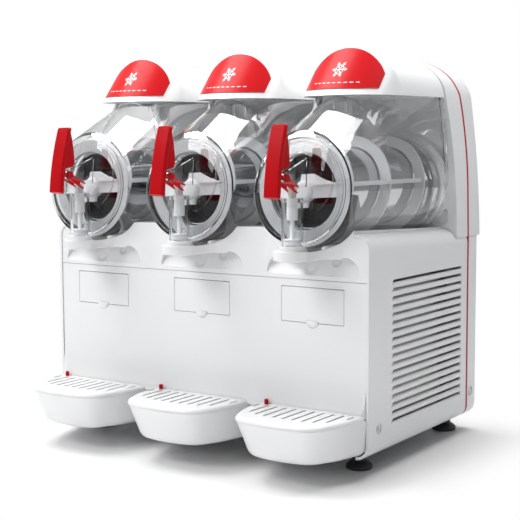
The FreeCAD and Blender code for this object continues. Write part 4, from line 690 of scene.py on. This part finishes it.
bm = bmesh.new()
bmesh.ops.create_grid(bm, x_segments=1, y_segments=1, size=FLOOR_SIZE / 2)
floor_mesh = bpy.data.meshes.new("studio_floor")
bm.to_mesh(floor_mesh)
bm.free()
floor = bpy.data.objects.new("studio_floor", floor_mesh)
bpy.context.scene.collection.objects.link(floor)
floor_paint = Paint("studio_floor", FLOOR_GREY, 0.5)
spot = floor_paint.node("ShaderNodeTexCoord", output="Object")
past_edge = floor_paint.vector("SUBTRACT", floor_paint.vector("ABSOLUTE", spot), FOOTPRINT)
outside = floor_paint.vector("MAXIMUM", past_edge, (0.0, 0.0, 0.0))
away = floor_paint.fade(floor_paint.vector("LENGTH", outside, output="Value"), FADE_START, FADE_END)
straight = floor_paint.node("ShaderNodeLightPath", output="Is Camera Ray")
bent = floor_paint.node("ShaderNodeLightPath", output="Is Transmission Ray")
glow = floor_paint.node("ShaderNodeEmission", {}, {"Color": WHITE, "Strength": 1.0})
lit = Wire(floor_paint, floor_paint.shader.outputs[0])
mixed = floor_paint.node("ShaderNodeMixShader", {}, {0: (straight + bent) * away, 1: lit, 2: glow})
floor_paint.join(mixed, floor_paint.tree.nodes["Material Output"].inputs["Surface"])
floor_mesh.materials.append(floor_paint.material)
print("floor", FLOOR_SIZE, "m wide")

# %% [markdown]
# The world does four things. It fills the shadows with a weak, even light. It is white where
# the camera looks at it. Through the clear bowls it is white only about straight ahead, as a
# backdrop is, and dim to the sides, so that the edges of the bowls are drawn in grey. Polished
# steel and gloss mirror a plain room: a dark band at the height of the horizon, lighter above
# it and lighter again behind the machine.

# %% World
FILL_COLOR = (0.95, 0.97, 1.0, 1.0)
FILL_STRENGTH = 0.17
MIRROR_STRENGTH = 0.6
ROOM_STOPS = [(0.0, 0.30), (0.44, 0.16), (0.56, 0.55), (1.0, 1.0)]
BEHIND_STOPS = [(0.0, 0.0), (0.62, 1.0)]
BACKDROP_EDGE = 0.72
BACKDROP_CORE = 0.96
BACKDROP_DIM = 0.28

world = bpy.data.worlds.new("studio")
bpy.context.scene.world = world
world.use_nodes = True
sky = Nodes(world.node_tree)
seen = sky.node("ShaderNodeLightPath", output="Is Camera Ray")
mirrored = sky.node("ShaderNodeLightPath", output="Is Glossy Ray")
through_glass = sky.node("ShaderNodeLightPath", output="Is Transmission Ray")
direction = sky.node("ShaderNodeTexCoord", output="Generated")
upward = sky.node("ShaderNodeSeparateXYZ", {}, {"Vector": direction}, "Z")
backward = sky.node("ShaderNodeSeparateXYZ", {}, {"Vector": direction}, "Y")
room = sky.node("ShaderNodeValToRGB", {"stops": ROOM_STOPS}, {0: upward * 0.5 + 0.5})
behind = sky.node("ShaderNodeValToRGB", {"stops": BEHIND_STOPS}, {0: backward * 0.5 + 0.5})
ahead = (-math.sin(CAMERA_TURN) * math.cos(CAMERA_DROP), math.cos(CAMERA_TURN) * math.cos(CAMERA_DROP),
         -math.sin(CAMERA_DROP))
straightness = sky.vector("DOT_PRODUCT", direction, ahead, "Value")
backdrop = sky.fade(straightness, BACKDROP_EDGE, BACKDROP_CORE, BACKDROP_DIM, 1.0)
fill = sky.node("ShaderNodeBackground", {}, {"Color": FILL_COLOR, "Strength": FILL_STRENGTH})
shown = sky.node("ShaderNodeBackground", {}, {"Color": WHITE, "Strength": seen + through_glass * backdrop})
in_mirrors = sky.node("ShaderNodeBackground", {}, {"Color": sky.mix(behind, room, WHITE[:3]),
                                                   "Strength": MIRROR_STRENGTH})
unseen = sky.node("ShaderNodeMixShader", {}, {0: mirrored, 1: fill, 2: in_mirrors})
both = sky.node("ShaderNodeMixShader", {}, {0: seen + through_glass, 1: unseen, 2: shown})
sky.join(both, sky.tree.nodes["World Output"].inputs["Surface"])
print("world set, fill", FILL_STRENGTH)

# %% [markdown]
# Five soft lamps light the machine. The key stands high on the left of the camera. Two more
# hang above, one at the left and one over the back, which is the one that the sloping hoppers
# mirror as a bright patch. The front right one lifts the shade beside the bowls, and a small
# near one, hidden from the camera, brightens the tower's side more than the panel below it.

# %% Lamps
LOW_AIM = (0.0, 0.0, 0.3)


def lamp(name, place, target, width, depth, power):
    data = bpy.data.lights.new(name, "AREA")
    data.shape = "RECTANGLE"
    data.size = width
    data.size_y = depth
    data.energy = power
    holder = bpy.data.objects.new(name, data)
    bpy.context.scene.collection.objects.link(holder)
    holder.location = place
    aim = Vector(target) - Vector(place)
    holder.rotation_euler = aim.to_track_quat("-Z", "Y").to_euler()
    return holder


lamp("key_front", (-1.0, -2.1, 2.3), LOW_AIM, 1.6, 1.3, 42.0)
lamp("top_left", (-1.05, -0.3, 2.4), (0.0, 0.0, 0.4), 1.2, 1.2, 50.0)
lamp("top_back", (0.15, 0.6, 2.35), (0.15, 0.0, 0.4), 2.0, 0.85, 35.0)
lamp("front_right", (1.3, -2.6, 1.3), LOW_AIM, 1.2, 1.2, 8.0)
near = lamp("right_near", (0.55, 0.15, 1.05), (0.29, 0.1, 0.45), 0.4, 0.4, 1.7)
near.visible_camera = False
print("lamps set")
